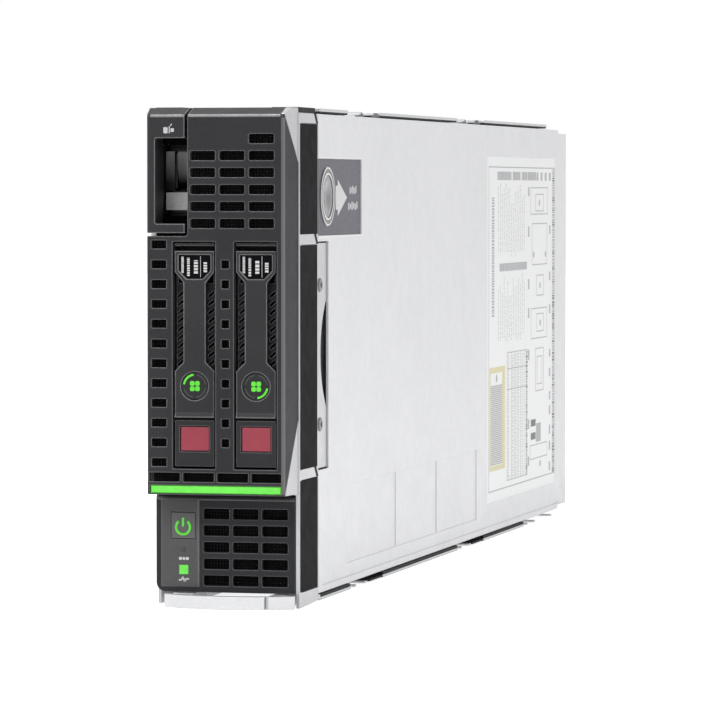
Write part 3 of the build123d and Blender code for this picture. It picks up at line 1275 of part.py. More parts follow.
def card_height(index):
    """Height of the middle of an expansion card."""
    return BOARD_FOOT + CARD_MARGIN + CARD_H / 2 + index * (CARD_H + CARD_SPACE)


def card_connectors():
    """Stacking connectors between the board and the three cards."""
    parts = []
    for index in range(CARDS):
        z = card_height(index)
        parts.append(block(BOARD_TOP_X, CARD_X, CARD_D - CARD_CONN_L / 2, CARD_D + CARD_CONN_L / 2,
                           z - CARD_CONN_W / 2, z + CARD_CONN_W / 2))
    return parts


def storage_controller():
    """Storage controller card: board, chip and the posts that carry it."""
    half_l = CONTROLLER_L / 2
    half_h = CONTROLLER_H / 2
    half_chip = CONTROLLER_CHIP / 2
    x0 = BOARD_TOP_X + DIMM_SOCKET_H
    x1 = x0 + BOARD_THICK
    body = block(x0, x1, ZONE_D - half_l, ZONE_D + half_l, CONTROLLER_Z - half_h, CONTROLLER_Z + half_h)
    body += block(x1, x1 + CONTROLLER_CHIP_H, ZONE_D - half_chip, ZONE_D + half_chip,
                  CONTROLLER_Z - half_chip, CONTROLLER_Z + half_chip)
    for end in (1, -1):
        z = CONTROLLER_Z + end * (half_h - CONTROLLER_POST_IN)
        body += side_prism(Pos(back(ZONE_D), z) * RegularPolygon(STANDOFF_R, 6), BOARD_TOP_X, x0)
    return body


def cell_holder():
    """Square cup for the coin cell."""
    side = CELL_R + CELL_WALL
    body = block(BOARD_TOP_X, BOARD_TOP_X + CELL_H + CELL_FLOOR, ZONE_D - side, ZONE_D + side,
                 CELL_Z - side, CELL_Z + side)
    room = CELL_R + PIVOT_FIT
    return body - block(BOARD_TOP_X + CELL_FLOOR, HALF, ZONE_D - room, ZONE_D + room,
                        CELL_Z - room, CELL_Z + room)


def coin_cell():
    """Coin cell."""
    x0 = BOARD_TOP_X + CELL_FLOOR
    return rod_x(x0, x0 + CELL_H, ZONE_D, CELL_Z, CELL_R)


def internal_port():
    """Internal port beside the storage controller, open towards the front."""
    x1 = BOARD_TOP_X + PORT_RISE
    d0 = ZONE_D - PORT_L / 2
    d1 = ZONE_D + PORT_L / 2
    z0 = PORT_Z - PORT_H / 2
    z1 = PORT_Z + PORT_H / 2
    body = block(BOARD_TOP_X, x1, d0, d1, z0, z1)
    return body - block(BOARD_TOP_X + PORT_WALL, x1 - PORT_WALL, d0 - SHEET, d1 - PORT_BACK,
                        z0 + PORT_SIDE, z1 - PORT_SIDE)


def capacitor_pack():
    """Flat pack of backup capacitors, with its saddle on the tray."""
    rear = PACK_FRONT + PACK_LENGTH
    top = PACK_FOOT + PACK_H
    body = block(PACK_LEFT, PACK_LEFT + PACK_THICK, PACK_FRONT, rear, PACK_FOOT, top)
    body = chamfer(body.edges().filter_by(Axis.Y), PACK_EDGE)
    return body + block(TRAY_IN_LEFT, PACK_LEFT, PACK_FRONT + SADDLE_IN, rear - SADDLE_IN,
                        PACK_FOOT + SADDLE_IN, top - SADDLE_IN)


def rear_wall():
    """Rear wall with windows for the connectors and a column of vents."""
    body = block(TRAY_IN_LEFT, TRAY_RIGHT, REAR_WALL_D, REAR_WALL_D + SHEET, TRAY_IN_FOOT, TRAY_IN_TOP)
    left = BOARD_LEFT - SHEET
    right = CONN_RIGHT + GAP
    for z, h in ((SIGNAL_Z, SIGNAL_H), (POWER_CONN_Z, POWER_CONN_H)):
        half = h / 2 + GAP
        body -= block(left, right, REAR_WALL_D - GAP, REAR_WALL_D + 2 * SHEET, z - half, z + half)
    first = BOARD_MID - (REAR_VENTS - 1) * REAR_VENT_PITCH / 2
    for index in range(REAR_VENTS):
        z = first + index * REAR_VENT_PITCH
        body -= block(REAR_VENT_LEFT, TRAY_RIGHT - REAR_VENT_EDGE,
                      REAR_WALL_D - GAP, REAR_WALL_D + 2 * SHEET, z - REAR_VENT_H / 2, z + REAR_VENT_H / 2)
    return body


def rear_connector(z, h, rows):
    """Connector at the rear edge of the board: a shroud with rows of contacts on its floor."""
    body = block(BOARD_LEFT, CONN_RIGHT, CONN_FRONT, CONN_REAR, z - h / 2, z + h / 2)
    wall = CONN_WALL
    body -= block(BOARD_LEFT + wall, CONN_RIGHT - wall, CONN_REAR - CONN_DEEP, CONN_REAR + GAP,
                  z - h / 2 + wall, z + h / 2 - wall)
    pitch = (h - 2 * wall) / rows
    for index in range(rows):
        middle = z - h / 2 + wall + (index + 0.5) * pitch
        body += block(BOARD_LEFT + 2 * wall, CONN_RIGHT - 2 * wall, CONN_REAR - CONN_DEEP,
                      CONN_REAR - CONN_DEEP + CONTACT_RISE, middle - pitch / 4, middle + pitch / 4)
    return body


def save(name, shape):
    """Write one node."""
    solids = shape if isinstance(shape, list) else shape.solids()
    whole = solids[0] if len(solids) == 1 else Compound(children=list(solids))
    whole.label = name
    export_step(whole, os.path.join("parts", name + ".step"))


def main():
    os.makedirs("parts", exist_ok=True)
    nodes = {
        "chassis_tray": chassis_tray(), "front_frame": front_frame(), "rear_wall": rear_wall(),
        "bulkhead": bulkhead(), "bay_collars": bay_collars(),
        "upper_bezel": upper_bezel(), "lower_bezel": lower_bezel(), "light_bar": light_bar(),
        "edge_strips": edge_strips(), "guide_rails": guide_rails(), "rail_pads": rail_pads(),
        "pull_tab": pull_tab(), "tab_guide": tab_guide(), "front_connector": front_connector(),
        "power_button": power_button(), "status_lights": status_lights(), "control_board": control_board(),
        "release_lever": release_lever(), "lever_pivot_pin": lever_pivot_pin(),
        "lever_button": lever_button(),
        "drive_cage": drive_cage(), "drive_backplane": drive_backplane(),
        "backplane_connectors": backplane_connectors(), "cage_bracket": cage_bracket(),
        "access_panel": access_panel(), "service_label": service_label(),
        "catch_ring": catch_ring(), "catch_button": catch_button(),
        "system_board": system_board(), "board_standoffs": board_standoffs(),
        "cpu_sockets": cpu_sockets(), "processors": processors(),
        "heatsink_front": heatsink(CPU_D[0]), "heatsink_rear": heatsink(CPU_D[1]),
        "dimm_sockets": dimm_sockets(), "memory_modules": memory_modules(), "air_baffle": air_baffle(),
        "network_module": expansion_card(card_height(0)), "mezzanine_lower": expansion_card(card_height(1)),
        "mezzanine_upper": expansion_card(card_height(2)), "card_connectors": card_connectors(),
        "storage_controller": storage_controller(), "cell_holder": cell_holder(), "coin_cell": coin_cell(),
        "internal_port": internal_port(), "capacitor_pack": capacitor_pack(),
        "rear_connectors": [rear_connector(SIGNAL_Z, SIGNAL_H, CONN_ROWS),
                            rear_connector(POWER_CONN_Z, POWER_CONN_H, CONN_ROWS // 2)],
    }
    for number, x in enumerate(BAY_X, 1):
        nodes[f"drive_{number}_carrier"] = drive_carrier(x)
        nodes[f"drive_{number}_disk"] = disk(x)
        nodes[f"drive_{number}_handle"] = drive_handle(x)
        nodes[f"drive_{number}_handle_pin"] = handle_pin(x)
        nodes[f"drive_{number}_status_ring"] = status_ring(x)
        nodes[f"drive_{number}_button"] = drive_button(x)
    for name, shape in nodes.items():
        save(name, shape)


main()
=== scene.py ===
import json
import math
import random

import bmesh
import bpy
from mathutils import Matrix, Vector


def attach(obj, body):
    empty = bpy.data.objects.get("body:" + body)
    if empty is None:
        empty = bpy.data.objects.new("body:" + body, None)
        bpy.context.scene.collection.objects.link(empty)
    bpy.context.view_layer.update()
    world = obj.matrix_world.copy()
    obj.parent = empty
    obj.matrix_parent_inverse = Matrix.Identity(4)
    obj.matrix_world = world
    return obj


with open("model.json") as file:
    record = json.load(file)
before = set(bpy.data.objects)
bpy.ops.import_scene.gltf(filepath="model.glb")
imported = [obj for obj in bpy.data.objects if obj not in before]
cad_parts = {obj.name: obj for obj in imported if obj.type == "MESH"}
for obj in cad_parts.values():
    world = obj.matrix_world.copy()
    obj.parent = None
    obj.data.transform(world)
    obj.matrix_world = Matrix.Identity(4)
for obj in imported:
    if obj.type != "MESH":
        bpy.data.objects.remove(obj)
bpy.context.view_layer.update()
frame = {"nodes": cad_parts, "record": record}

# Blade server: looks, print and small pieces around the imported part.
# Places are in millimetres until they reach a mesh: x across, d back from the bezel's face, z up.
# Those that don't come from the frame were read from the photo through the camera fitted to it.

NODES = frame["nodes"]
MM = 0.001


def node_points(name):
    """Vertices of a CAD node in metres."""
    node = NODES[name]
    return [node.matrix_world @ vertex.co for vertex in node.data.vertices]


FRONT_Y = min(point.y for point in node_points("upper_bezel"))


def node_box(name):
    """Low and high (x, d, z) of a CAD node."""
    points = [(point.x, point.y - FRONT_Y, point.z) for point in node_points(name)]
    return [[round(pick(along) / MM, 3) for along in zip(*points)] for pick in (min, max)]


def middle(name):
    """Middle (x, d, z) of a CAD node."""
    return [(low + high) / 2 for low, high in zip(*node_box(name))]


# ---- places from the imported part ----

SIDE_X = node_box("access_panel")[1][0]
PANEL_TOP = node_box("access_panel")[1][2]
FIELD_X = SIDE_X - 0.4
LABEL_X = node_box("service_label")[1][0]
CATCH_D, CATCH_Z = middle("catch_button")[1:]
RAIL_X = node_box("guide_rails")[1][0]
BRACKET_X = node_box("cage_bracket")[1][0]
DRIVE_X = {number: middle(f"drive_{number}_status_ring")[0] for number in (1, 2)}
RING_D = node_box("drive_1_status_ring")[0][1]
RING_Z = middle("drive_1_status_ring")[2]
POWER_X = middle("power_button")[0]
POWER_D = node_box("power_button")[0][1]
CONTROL_D = node_box("lower_bezel")[0][1]
SOCKET_D = node_box("front_connector")[0][1]
BOARD_X = node_box("system_board")[1][0]
SINK_D = (middle("heatsink_front")[1], middle("heatsink_rear")[1])
SINK_Z = middle("heatsink_front")[2]
MODULE_HALF = 0.65
MODULE_PITCH = 9.0
MODULE_LOW = node_box("memory_modules")[0][2] + MODULE_HALF
MODULE_HIGH = node_box("memory_modules")[1][2] - MODULE_HALF
MODULE_Z = [MODULE_LOW + i * MODULE_PITCH for i in range(4)]
MODULE_Z += [MODULE_HIGH - i * MODULE_PITCH for i in (3, 2, 1, 0)]

# ---- camera and light ----

# Camera fitted to the photo: place from the origin in millimetres, turn in degrees, lens and sensor
CAMERA_AT = (432.5, -1825.5, 151.7)
CAMERA_TURN = (87.84, 0.0, 13.596)
CAMERA_LENS = 225.78
SENSOR = 36.0

# Level of the world, glow of the floor for the camera, and lamps: place, target, size and watts, in metres
WORLD_LEVEL = 0.60
WORLD_COLOR = (0.90, 0.91, 0.93, 1)
FLOOR_GLOW = 0.72
FLOOR_HALF = 6.0
LAMPS = {
    "key": ((-0.5, -1.6, 1.5), (0, -0.2, 0.12), 1.0, 16.0),
    "side": ((2.4, -0.5, 1.0), (0, 0.0, 0.09), 2.0, 16.0),
    "top": ((-0.4, -0.35, 2.0), (0, -0.2, 0.1), 0.4, 14.0),
}

# ---- sizes and places at the front ----

# Laid-on pieces and print start this far under the face they lie on
LAID = -0.02
PRINTED = -0.01

# Window of a drive handle: depth, half width, foot, top, cut corners and the plate's margin
WINDOW_D = 1.2
WINDOW_HALF = 6.05
WINDOW_FOOT = 119.5
WINDOW_TOP = 128.3
WINDOW_CUT = 3.0
WINDOW_MARGIN = 0.15
# Columns of marks in it: offset from the drive's middle, width, foot, top and mean step
MARK_COLUMNS = ((-4.5, 0.9, 121.7, 127.6, 0.42), (-2.3, 1.0, 120.6, 127.2, 0.8),
                (0.5, 1.5, 121.5, 126.3, 1.2), (4.0, 1.3, 122.0, 125.6, 1.0))
MARK_LINE = (2.15, 2.3, 120.2, 127.8)
MARK_FILL = 0.72

# Round status light: lobes in the middle, and arcs in degrees with the one that is lit on each drive
LOBE = 1.8
LOBE_GAP = 0.1
LOBE_ROUND = 0.6
ARCS = ((8, 82), (96, 172), (188, 262), (-84, -8))
LIT_ARC = {1: ARCS[1], 2: ARCS[3]}
LIT_RADII = (3.7, 4.5)
UNLIT_RADII = (3.75, 4.45)

# Rounds of the bezels: middle, inner and outer radius, start and end in degrees; then where each
# polished edge starts, and its length
TOP_ROUND = (1.2, 177.74, 1.1, 1.24, 108, 181)
RIGHT_ROUND = (24.51, 1.2, 1.1, 1.23, -91, -7)
LOWER_ROUND = (15.8, 38.8, 1.9, 2.03, 90, 181)
TAB_EDGE = (-24.3, 12.6)
TOP_EDGE = (-10.1, 34.4)
RIGHT_EDGE = (42.2, 135.4)
LOWER_EDGE = (-26.0, 52.0)

# Power symbol, marks above and below the square light, dark dot and painted highlight along the edge of the
# control area
POWER_Z = 28.9
POWER_RADII = (2.15, 3.1)
POWER_ARC = (128, 412)
POWER_STEM = (0.45, 0.2, 3.5)
LIGHT_X = -15.7
WORD_Z = (16.9, 18.0)
WORD_PARTS = ((-1.9, -0.7, 0.4), (-0.5, 0.5, 0.3), (0.7, 1.9, 0.4))
BEAT = ((-1.9, 9.6), (-0.9, 9.6), (-0.4, 10.9), (0.3, 8.9), (0.8, 10.0), (1.9, 10.0))
BEAT_W = 0.6
DOT_Z = 20.6
DOT_R = 0.85
CONTROL_EDGE_HIGHLIGHT = (-10.5, -10.05, 7.4, 38.6)

# Air screens: depth, left and right, foot and top; and their wires
GRILLE_SCREEN = (2.3, -8.6, 23.8, 136.2, 172.4)
VENT_SCREENS = {
    "screen_left_vents": (2.3, -23.8, -17.1, 50.2, 134.0),
    "screen_mid_vents": (2.3, 1.0, 5.9, 57.0, 128.0),
    "screen_long_vents": (2.3, -23.8, 23.8, 45.2, 50.0),
    "screen_lower": (16.35, -9.0, 24.0, 7.2, 36.4),
}
WIRE_PITCH = 1.1
WIRE_W = 0.62
WIRE_THICK = 0.2
# Black film that paints shade into the ends of the grille's slots, row by row from the top
SHADE_D = 2.5
SHADE_X = (-9.35, -8.65)
SHADE_TOP = 170.05
SHADE_PITCH = 6.1
SHADE_HALF = 1.65
SHADE_ROWS = 5

# Front connector: curved guide, its ear and the blank patch below
SCOOP_X = (-19.4, -14.4)
SCOOP_START = (18.8, 165.5)
SCOOP_REACH = (5.3, 13.6)
SCOOP_WALL = (0.25, 0.1)
SCOOP_STEPS = 12
EAR = (-23.6, -20.3, 151.3, 165.6)
PATCH = (-23.6, -13.6, 144.3, 150.7, 0.3)

# Plug-like mark on the pull tab: its middle, and shapes round that
TAB_MARK = (-17.4, 173.2)
TAB_PLUG = (-1.9, -0.3, -1.2, 1.0)
TAB_PLUG_ROUND = 0.25
TAB_BARS = ((0.1, 0.5, -1.2, 1.3), (0.8, 2.0, -0.7, 0.6))
TAB_CORD = (0.6, 1.4, 1.3, 2.2)
TAB_CORD_W = 0.35

# ---- sizes and places on the side ----

STRIP_SPANS = ((5.8, 46.2), (50.2, 131.5), (135.5, 175.6))
STRIP_FOLD = (14.7, 17.05)

# Painted shadows in the gaps across the frame's pads: depths at their top and foot, and their distance from
# the strip below
GAP_TOP = (35.2, 38.2)
GAP_FOOT = (38.6, 41.2)
GAP_ABOVE_STRIP = 0.3

# Grey field round the catch: box, round hole, arrow, rows of marks and pale rim that paints the highlight on
# the field's raised edge
FIELD = (41.6, 109.0, 134.8, 163.1)
FIELD_HOLE = 11.05
FIELD_STEPS = 48
ARROW = ((69.6, 144.2), (72.6, 144.2), (72.6, 141.9), (87.0, 148.7), (72.6, 155.5), (72.6, 153.2),
         (69.6, 153.2))
FIELD_ROWS = ((91.2, 102.6, 150.0, 153.2), (89.0, 104.6, 144.0, 147.2))
FIELD_MARKS = 6
FIELD_RIM_HIGHLIGHT = ((41.6, 109.9, 163.2, 163.9), (41.6, 109.9, 134.0, 134.7), (109.2, 109.9, 134.7, 163.2))
# Outer and inner radii of the pale lines on the catch's ring, painted highlights on its edges
CATCH_HIGHLIGHT_LINES = ((10.85, 10.3), (8.75, 8.1))

# Service label. Boxes are depth from and to, then height from and to.
# Dashes are the shortest and longest step and the share of it that is printed.
PRINT_SEED = 7
LABEL_FRAME = (343.8, 490.6, 20.3, 161.8)
FRAME_LINE = 0.5
EDGE_TICKS = (485.4, 489.8, 21.0, 161.0)
EDGE_DASH = (0.7, 1.5, 0.72)
EDGE_DARK = 0.35
LEFT_TICKS = (350.4, 355.4, 96.4, 147.8)
LEFT_DASH = (0.9, 1.5, 0.68)
TITLE_Z = (155.9, 159.6)
TITLES = ((362.2, 391.8), (395.1, 411.7), (415.1, 427.0), (428.3, 447.0))
TITLE_DASH = (1.6, 2.6, 0.8)
TITLE_BLOCKS = (448.4, 457.9, 467.5, 477.2)
TITLE_BLOCK_W = 4.1
TITLE_BLOCK_Z = (155.8, 159.5)
DIVIDER = (366.7, 425.0, 115.9, 119.4)
DIVIDER_DASH = (2.0, 3.2, 0.8)
TEXT_LINES = range(364, 422, 4)
TEXT_W = 0.9
TEXT_BLOCKS = ((122.4, 154.2), (84.5, 113.0))
TEXT_RAGGED = (3, 9)
TEXT_DASH = (0.5, 2.4, 1.0)
TEXT_GAP = 0.5
CALLOUT_LEFT = (429.3, 432.2)
CALLOUT_LEFT_Z = ((148.9, 152.9), (130.4, 135.2), (106.9, 111.4), (93.9, 98.4), (74.8, 79.5), (43.7, 47.9),
                  (27.1, 31.2))
CALLOUT_RIGHT = (478.2, 481.0)
CALLOUT_RIGHT_Z = ((131.3, 135.3), (109.9, 114.0), (94.7, 98.8), (74.8, 78.3), (65.6, 69.5), (54.9, 58.7),
                   (48.0, 52.3), (39.0, 43.2), (31.6, 35.8), (22.2, 26.2))
DRAWING_BOXES = ((435.0, 474.5, 140.4, 152.8), (446.0, 464.8, 141.8, 149.8), (438.0, 473.0, 117.5, 136.5),
                 (448.8, 465.1, 103.4, 113.0), (448.9, 465.2, 87.0, 95.4), (436.0, 473.0, 84.0, 98.0),
                 (446.5, 465.2, 60.0, 79.7), (450.0, 461.5, 63.0, 76.0), (434.0, 473.6, 29.4, 36.0))
DRAWING_DOTS = ((441.9, 122.3), (469.2, 122.2), (455.0, 145.8), (457.5, 26.7), (456.8, 108.2), (457.0, 91.0))
DRAWING_DOT_R = 1.5
DRAWING_LINE = 0.45
DARK_BLOCKS = ((436.1, 446.7, 44.4, 47.5), (436.1, 446.7, 38.4, 41.5))
GREY_BLOCK = (448.0, 458.7, 36.9, 45.4)
TABLE_LEFT = (383.0, 383.6, 23.3, 79.8)
TABLE_COLUMNS = (392.3, 398.6, 404.9, 412.6, 420.6)
TABLE_COLUMN_Z = (23.3, 79.7)
TABLE_ROWS = (23.2, 63.3, 72.4, 79.6)
TABLE_ROW_D = (383.0, 428.0)
TABLE_LINE = 0.45
TABLE_ROW_LINE = 0.4
TABLE_TICKS = (424.6, 428.1, 23.4, 79.4)
TABLE_DASH = (0.7, 1.4, 0.75)
TABLE_DARK = 0.3
TABLE_TEXT = (386.5, 395.3, 401.7, 408.5, 416.5)
TABLE_TEXT_HALF = 1.2
TABLE_TEXT_Z = (24.2, 78.8)
TABLE_TEXT_DASH = (0.6, 1.6, 0.55)
YELLOW_FRAME = ((345.8, 378.6, 71.8, 74.4), (345.8, 378.6, 29.3, 31.4), (345.8, 348.0, 31.4, 71.8),
                (372.6, 378.6, 31.4, 71.8))
BLOCK_D = (348.6, 372.0)
BLOCK_FOOT = 31.8
BLOCK_PITCH = 0.85
BLOCK_LINE = 0.62
BLOCK_LINES = 41
BLOCK_DOT = (360.6, 69.4, 1.7)

# Painted shade on the hooks of the near top rail: starts, foot, the tooth's points and the round bump
HOOK_D = (107.5, 293.5)
HOOK_FOOT = 179.62
TOOTH = ((2.6, 0.0), (9.7, 0.0), (5.7, 1.73))
BUMP_MIDDLE = 29.7
BUMP_HALF = 5.8
BUMP_R = 10.86
BUMP_TOP = 181.4
BUMP_STEPS = 10

# Black strips that paint the shadow under the rails' lips: spans and heights at the top and at the foot
LIP_SHADOW_X = 20.0
LIP_SHADOW_DEEP = 6.6
LIP_SHADOW_INSET = 0.3
LIP_SHADOW_STRIPS = ((((48.0, 92.0), (145.5, 284.5), (338.0, 476.0)), 179.8, 180.5),
              (((48.0, 96.0), (149.0, 286.0), (338.0, 425.0)), 1.1, 2.3))

# ---- sizes and places inside and at the rear ----

BRACKET_SCREWS = ((46.4, 65.2), (46.4, 116.6))
BRACKET_HEAD = (2.6, 0.65)
# Black discs in the bracket screws' recesses as painted shade: (radius, height, waviness) rings
BRACKET_RECESS_SHADE = ((1.15, 0.1, 0.12), (1.15, 0.28, 0.12))
BOARD_SCREW_D = (137.5, 316.0, 494.5)
BOARD_SCREW_Z = (12.3, 170.1)
BOARD_HEAD = (2.6, 1.8)
SINK_SCREW_X = -11.0
SINK_SCREW_D = 41.2
SINK_SCREW_Z = 37.2
# Sprung screw, as (radius, height, waviness): foot, coil with its radii and pitch, and head
SPRUNG_FOOT = [(3.2, 0, 0), (3.2, 1.2, 0)]
COIL_R = (1.7, 2.3)
COIL_PITCH = 0.8
COIL_RINGS = 11
SPRUNG_HEAD = [(3.0, 10.2, 0), (3.0, 11.6, 0), (2.6, 12.2, 0), (1.5, 12.2, 0.12), (1.4, 10.8, 0.12)]

# Chips of a memory module: first and pitch along it, length, and the jump over its notch
CHIPS = 9
CHIP_FIRST = -56.0
CHIP_PITCH = 13.2
CHIP_LENGTH = 8.2
CHIP_JUMP = 6.5
CHIP_X = (-9.0, 1.0)
MODULE_LABEL_X = (3.0, 9.4)
MODULE_LABEL_D = (-40, 18)

PARTS_SEED = 11
CHOKE_D = (291.0, 324.0)
CHOKE_Z = (54.0, 67.0, 80.0, 93.0, 106.0, 119.0)
CHOKE_SIZE = 9.6
CHOKE_ROUND = 1.0
CHOKE_H = 6.5
CAN_D = (301.5, 313.0)
CAN_Z = (56.0, 66.0, 76.0, 86.0, 96.0, 106.0, 116.0, 126.0)
CAN_STEPS = 16
CAN_PROFILE = ((3.3, -0.02, 0), (3.3, 1.0, 0), (3.1, 1.3, 0), (3.3, 1.6, 0), (3.3, 7.4, 0), (3.0, 7.8, 0))
BOARD_CHIPS = ((138.0, 148.0, 41.5, 51.5), (151.5, 158.5, 42.0, 52.0), (138.5, 146.5, 132.5, 142.5),
               (150.0, 160.0, 132.0, 142.0), (140.0, 147.0, 16.5, 23.0), (150.5, 158.0, 14.5, 20.0))
# Small parts: two scattered rows clear of the middle screw, and two even rows between the sockets
SCATTER_Z = ((9.6, 13.0), (168.2, 171.4))
SCATTER_D = (146.0, 488.0)
SCATTER_CLEAR = 6
SMALL_LENGTHS = (1.6, 2.4, 3.4)
SMALL_W = 1.3
SMALL_STEPS = (3.6, 6.5)
EVEN_D = range(284, 332, 3)
EVEN_Z = (50.2, 131.0)
EVEN_SIZE = (1.8, 1.1)

# Contacts of the rear connectors: middle height, rows and pitch of each, and their columns
REAR_BLADES = ((92.0, 8, 6.6), (30.0, 4, 4.7))
CONTACT_D = 510.8
CONTACT_X = -19.8
CONTACT_PITCH = 1.9
CONTACTS = 12
CONTACT_W = 1.0
CONTACT_HALF = 0.35


# ---- meshes ----

def front(d):
    """Maps (x, z, height) to a plane facing the front at this depth."""
    return lambda u, v, h: Vector((u * MM, FRONT_Y + (d - h) * MM, v * MM))


def side(x):
    """Maps (depth, z, height) to a plane facing +X."""
    return lambda u, v, h: Vector(((x + h) * MM, FRONT_Y + u * MM, v * MM))


def rear(d):
    """Maps (-x, z, height) to a plane facing the rear at this depth."""
    return lambda u, v, h: Vector((-u * MM, FRONT_Y + (d + h) * MM, v * MM))


def level(z, way=1):
    """Maps (x, depth, height) to a level plane, facing up or down."""
    return lambda u, v, h: Vector((u * MM, FRONT_Y + v * MM, (z + way * h) * MM))


def finish_mesh(name, bm, look, body, slot):
    """Turns a bmesh into a piece that rides on a body."""
    bmesh.ops.recalc_face_normals(bm, faces=bm.faces)
    mesh = bpy.data.meshes.new(name)
    bm.to_mesh(mesh)
    bm.free()
    mesh.materials.append(look)
    piece = bpy.data.objects.new(name, mesh)
    bpy.context.scene.collection.objects.link(piece)
    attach(piece, body)


def add_prism(bm, place, outline, low, high):
    """Adds a closed prism over an outline between two heights."""
    bottom = [bm.verts.new(place(u, v, low)) for u, v in outline]
    top = [bm.verts.new(place(u, v, high)) for u, v in outline]
    bm.faces.new(bottom[::-1])
    bm.faces.new(top)
    count = len(outline)
    for i in range(count):
        j = (i + 1) % count
        bm.faces.new((bottom[i], bottom[j], top[j], top[i]))


def add_band(bm, place, outer, inner, low, high):
    """Adds a closed band between two outlines of equal length."""
    rings = []
    for outline, height in ((outer, low), (outer, high), (inner, high), (inner, low)):
        rings.append([bm.verts.new(place(u, v, height)) for u, v in outline])
    count = len(outer)
    for a, b in zip(rings, rings[1:] + rings[:1]):
        for i in range(count):
            j = (i + 1) % count
            bm.faces.new((a[i], a[j], b[j], b[i]))


def add_turned(bm, place, cu, cv, profile, steps):
    """Adds a closed turned body: (radius, height, six-lobed waviness) rings from the foot to the top."""
    rings = []
    for radius, height, wave in profile:
        ring = []
        for i in range(steps):
            angle = 2 * math.pi * i / steps
            r = radius * (1 + wave * math.cos(6 * angle))
            ring.append(bm.verts.new(place(cu + r * math.cos(angle), cv + r * math.sin(angle), height)))
        rings.append(ring)
    for low, high in zip(rings, rings[1:]):
        for i in range(steps):
            j = (i + 1) % steps
            bm.faces.new((low[i], low[j], high[j], high[i]))
    bm.faces.new(rings[0][::-1])
    bm.faces.new(rings[-1])


def turned(name, place, centres, profile, look, body, slot, steps=24):
    """One piece made of equal turned bodies."""
    bm = bmesh.new()
    for cu, cv in centres:
        add_turned(bm, place, cu, cv, profile, steps)
    finish_mesh(name, bm, look, body, slot)


def screw_profile(r, h):
    """Pan head with a six-lobed recess."""
    return [(r, 0, 0), (r, h * 0.5, 0), (r * 0.9, h * 0.85, 0), (r * 0.7, h, 0),
            (r * 0.5, h, 0.12), (r * 0.46, h * 0.3, 0.12)]


def prisms(name, place, outlines, low, high, look, body, slot):
    """One piece made of separate prisms."""
    bm = bmesh.new()
    for outline in outlines:
        add_prism(bm, place, outline, low, high)
    finish_mesh(name, bm, look, body, slot)


def bar(u0, u1, v0, v1):
    """Rectangle."""
    return [(u0, v0), (u1, v0), (u1, v1), (u0, v1)]


def round_bar(u0, u1, v0, v1, r, steps=5):
    """Rectangle with round corners."""
    points = []
    corners = ((u1 - r, v0 + r, -90), (u1 - r, v1 - r, 0), (u0 + r, v1 - r, 90), (u0 + r, v0 + r, 180))
    for cu, cv, start in corners:
        for i in range(steps + 1):
            angle = math.radians(start + 90 * i / steps)
            points.append((cu + r * math.cos(angle), cv + r * math.sin(angle)))
    return points


def disc(cu, cv, r, steps=32):
    """Circle."""
    return [(cu + r * math.cos(2 * math.pi * i / steps), cv + r * math.sin(2 * math.pi * i / steps))
            for i in range(steps)]


def arc_bar(cu, cv, r0, r1, start, end, steps=16):
    """Part of a ring between two angles, in degrees counted from +u towards +v."""
    angles = [math.radians(start + (end - start) * i / steps) for i in range(steps + 1)]
    outer = [(cu + r1 * math.cos(a), cv + r1 * math.sin(a)) for a in angles]
    inner = [(cu + r0 * math.cos(a), cv + r0 * math.sin(a)) for a in reversed(angles)]
    return outer + inner


def stroke(u0, v0, u1, v1, width):
    """Straight line of some width."""
    length = math.hypot(u1 - u0, v1 - v0)
    nu, nv = -(v1 - v0) / length * width / 2, (u1 - u0) / length * width / 2
    return [(u0 - nu, v0 - nv), (u1 - nu, v1 - nv), (u1 + nu, v1 + nv), (u0 + nu, v0 + nv)]


def frame_lines(u0, u1, v0, v1, width):
    """Four lines round a rectangle."""
    return [bar(u0, u1, v0, v0 + width), bar(u0, u1, v1 - width, v1),
            bar(u0, u0 + width, v0 + width, v1 - width), bar(u1 - width, u1, v0 + width, v1 - width)]


def dashes(rng, start, end, shortest, longest, fill, gap=0.0):
    """Ends of dashes along a run, with random steps; each dash fills a share of its step."""
    at = start
    while at < end:
        step = rng.uniform(shortest, longest)
        yield at, at + step * fill
        at += step + gap


# ---- materials ----

DARK = (0.036, 0.036, 0.039)
# Lighter colour of the dark plastics' edges: part wear, part painted highlight
EDGE_WEAR_AND_HIGHLIGHT = (0.26, 0.26, 0.265)
# Turn of the rounded normal, as 1 minus its cosine, where the lighter edge colour (part wear, part painted
# highlight) starts and where it is full
EDGE_START = 0.01
EDGE_FULL = 0.25


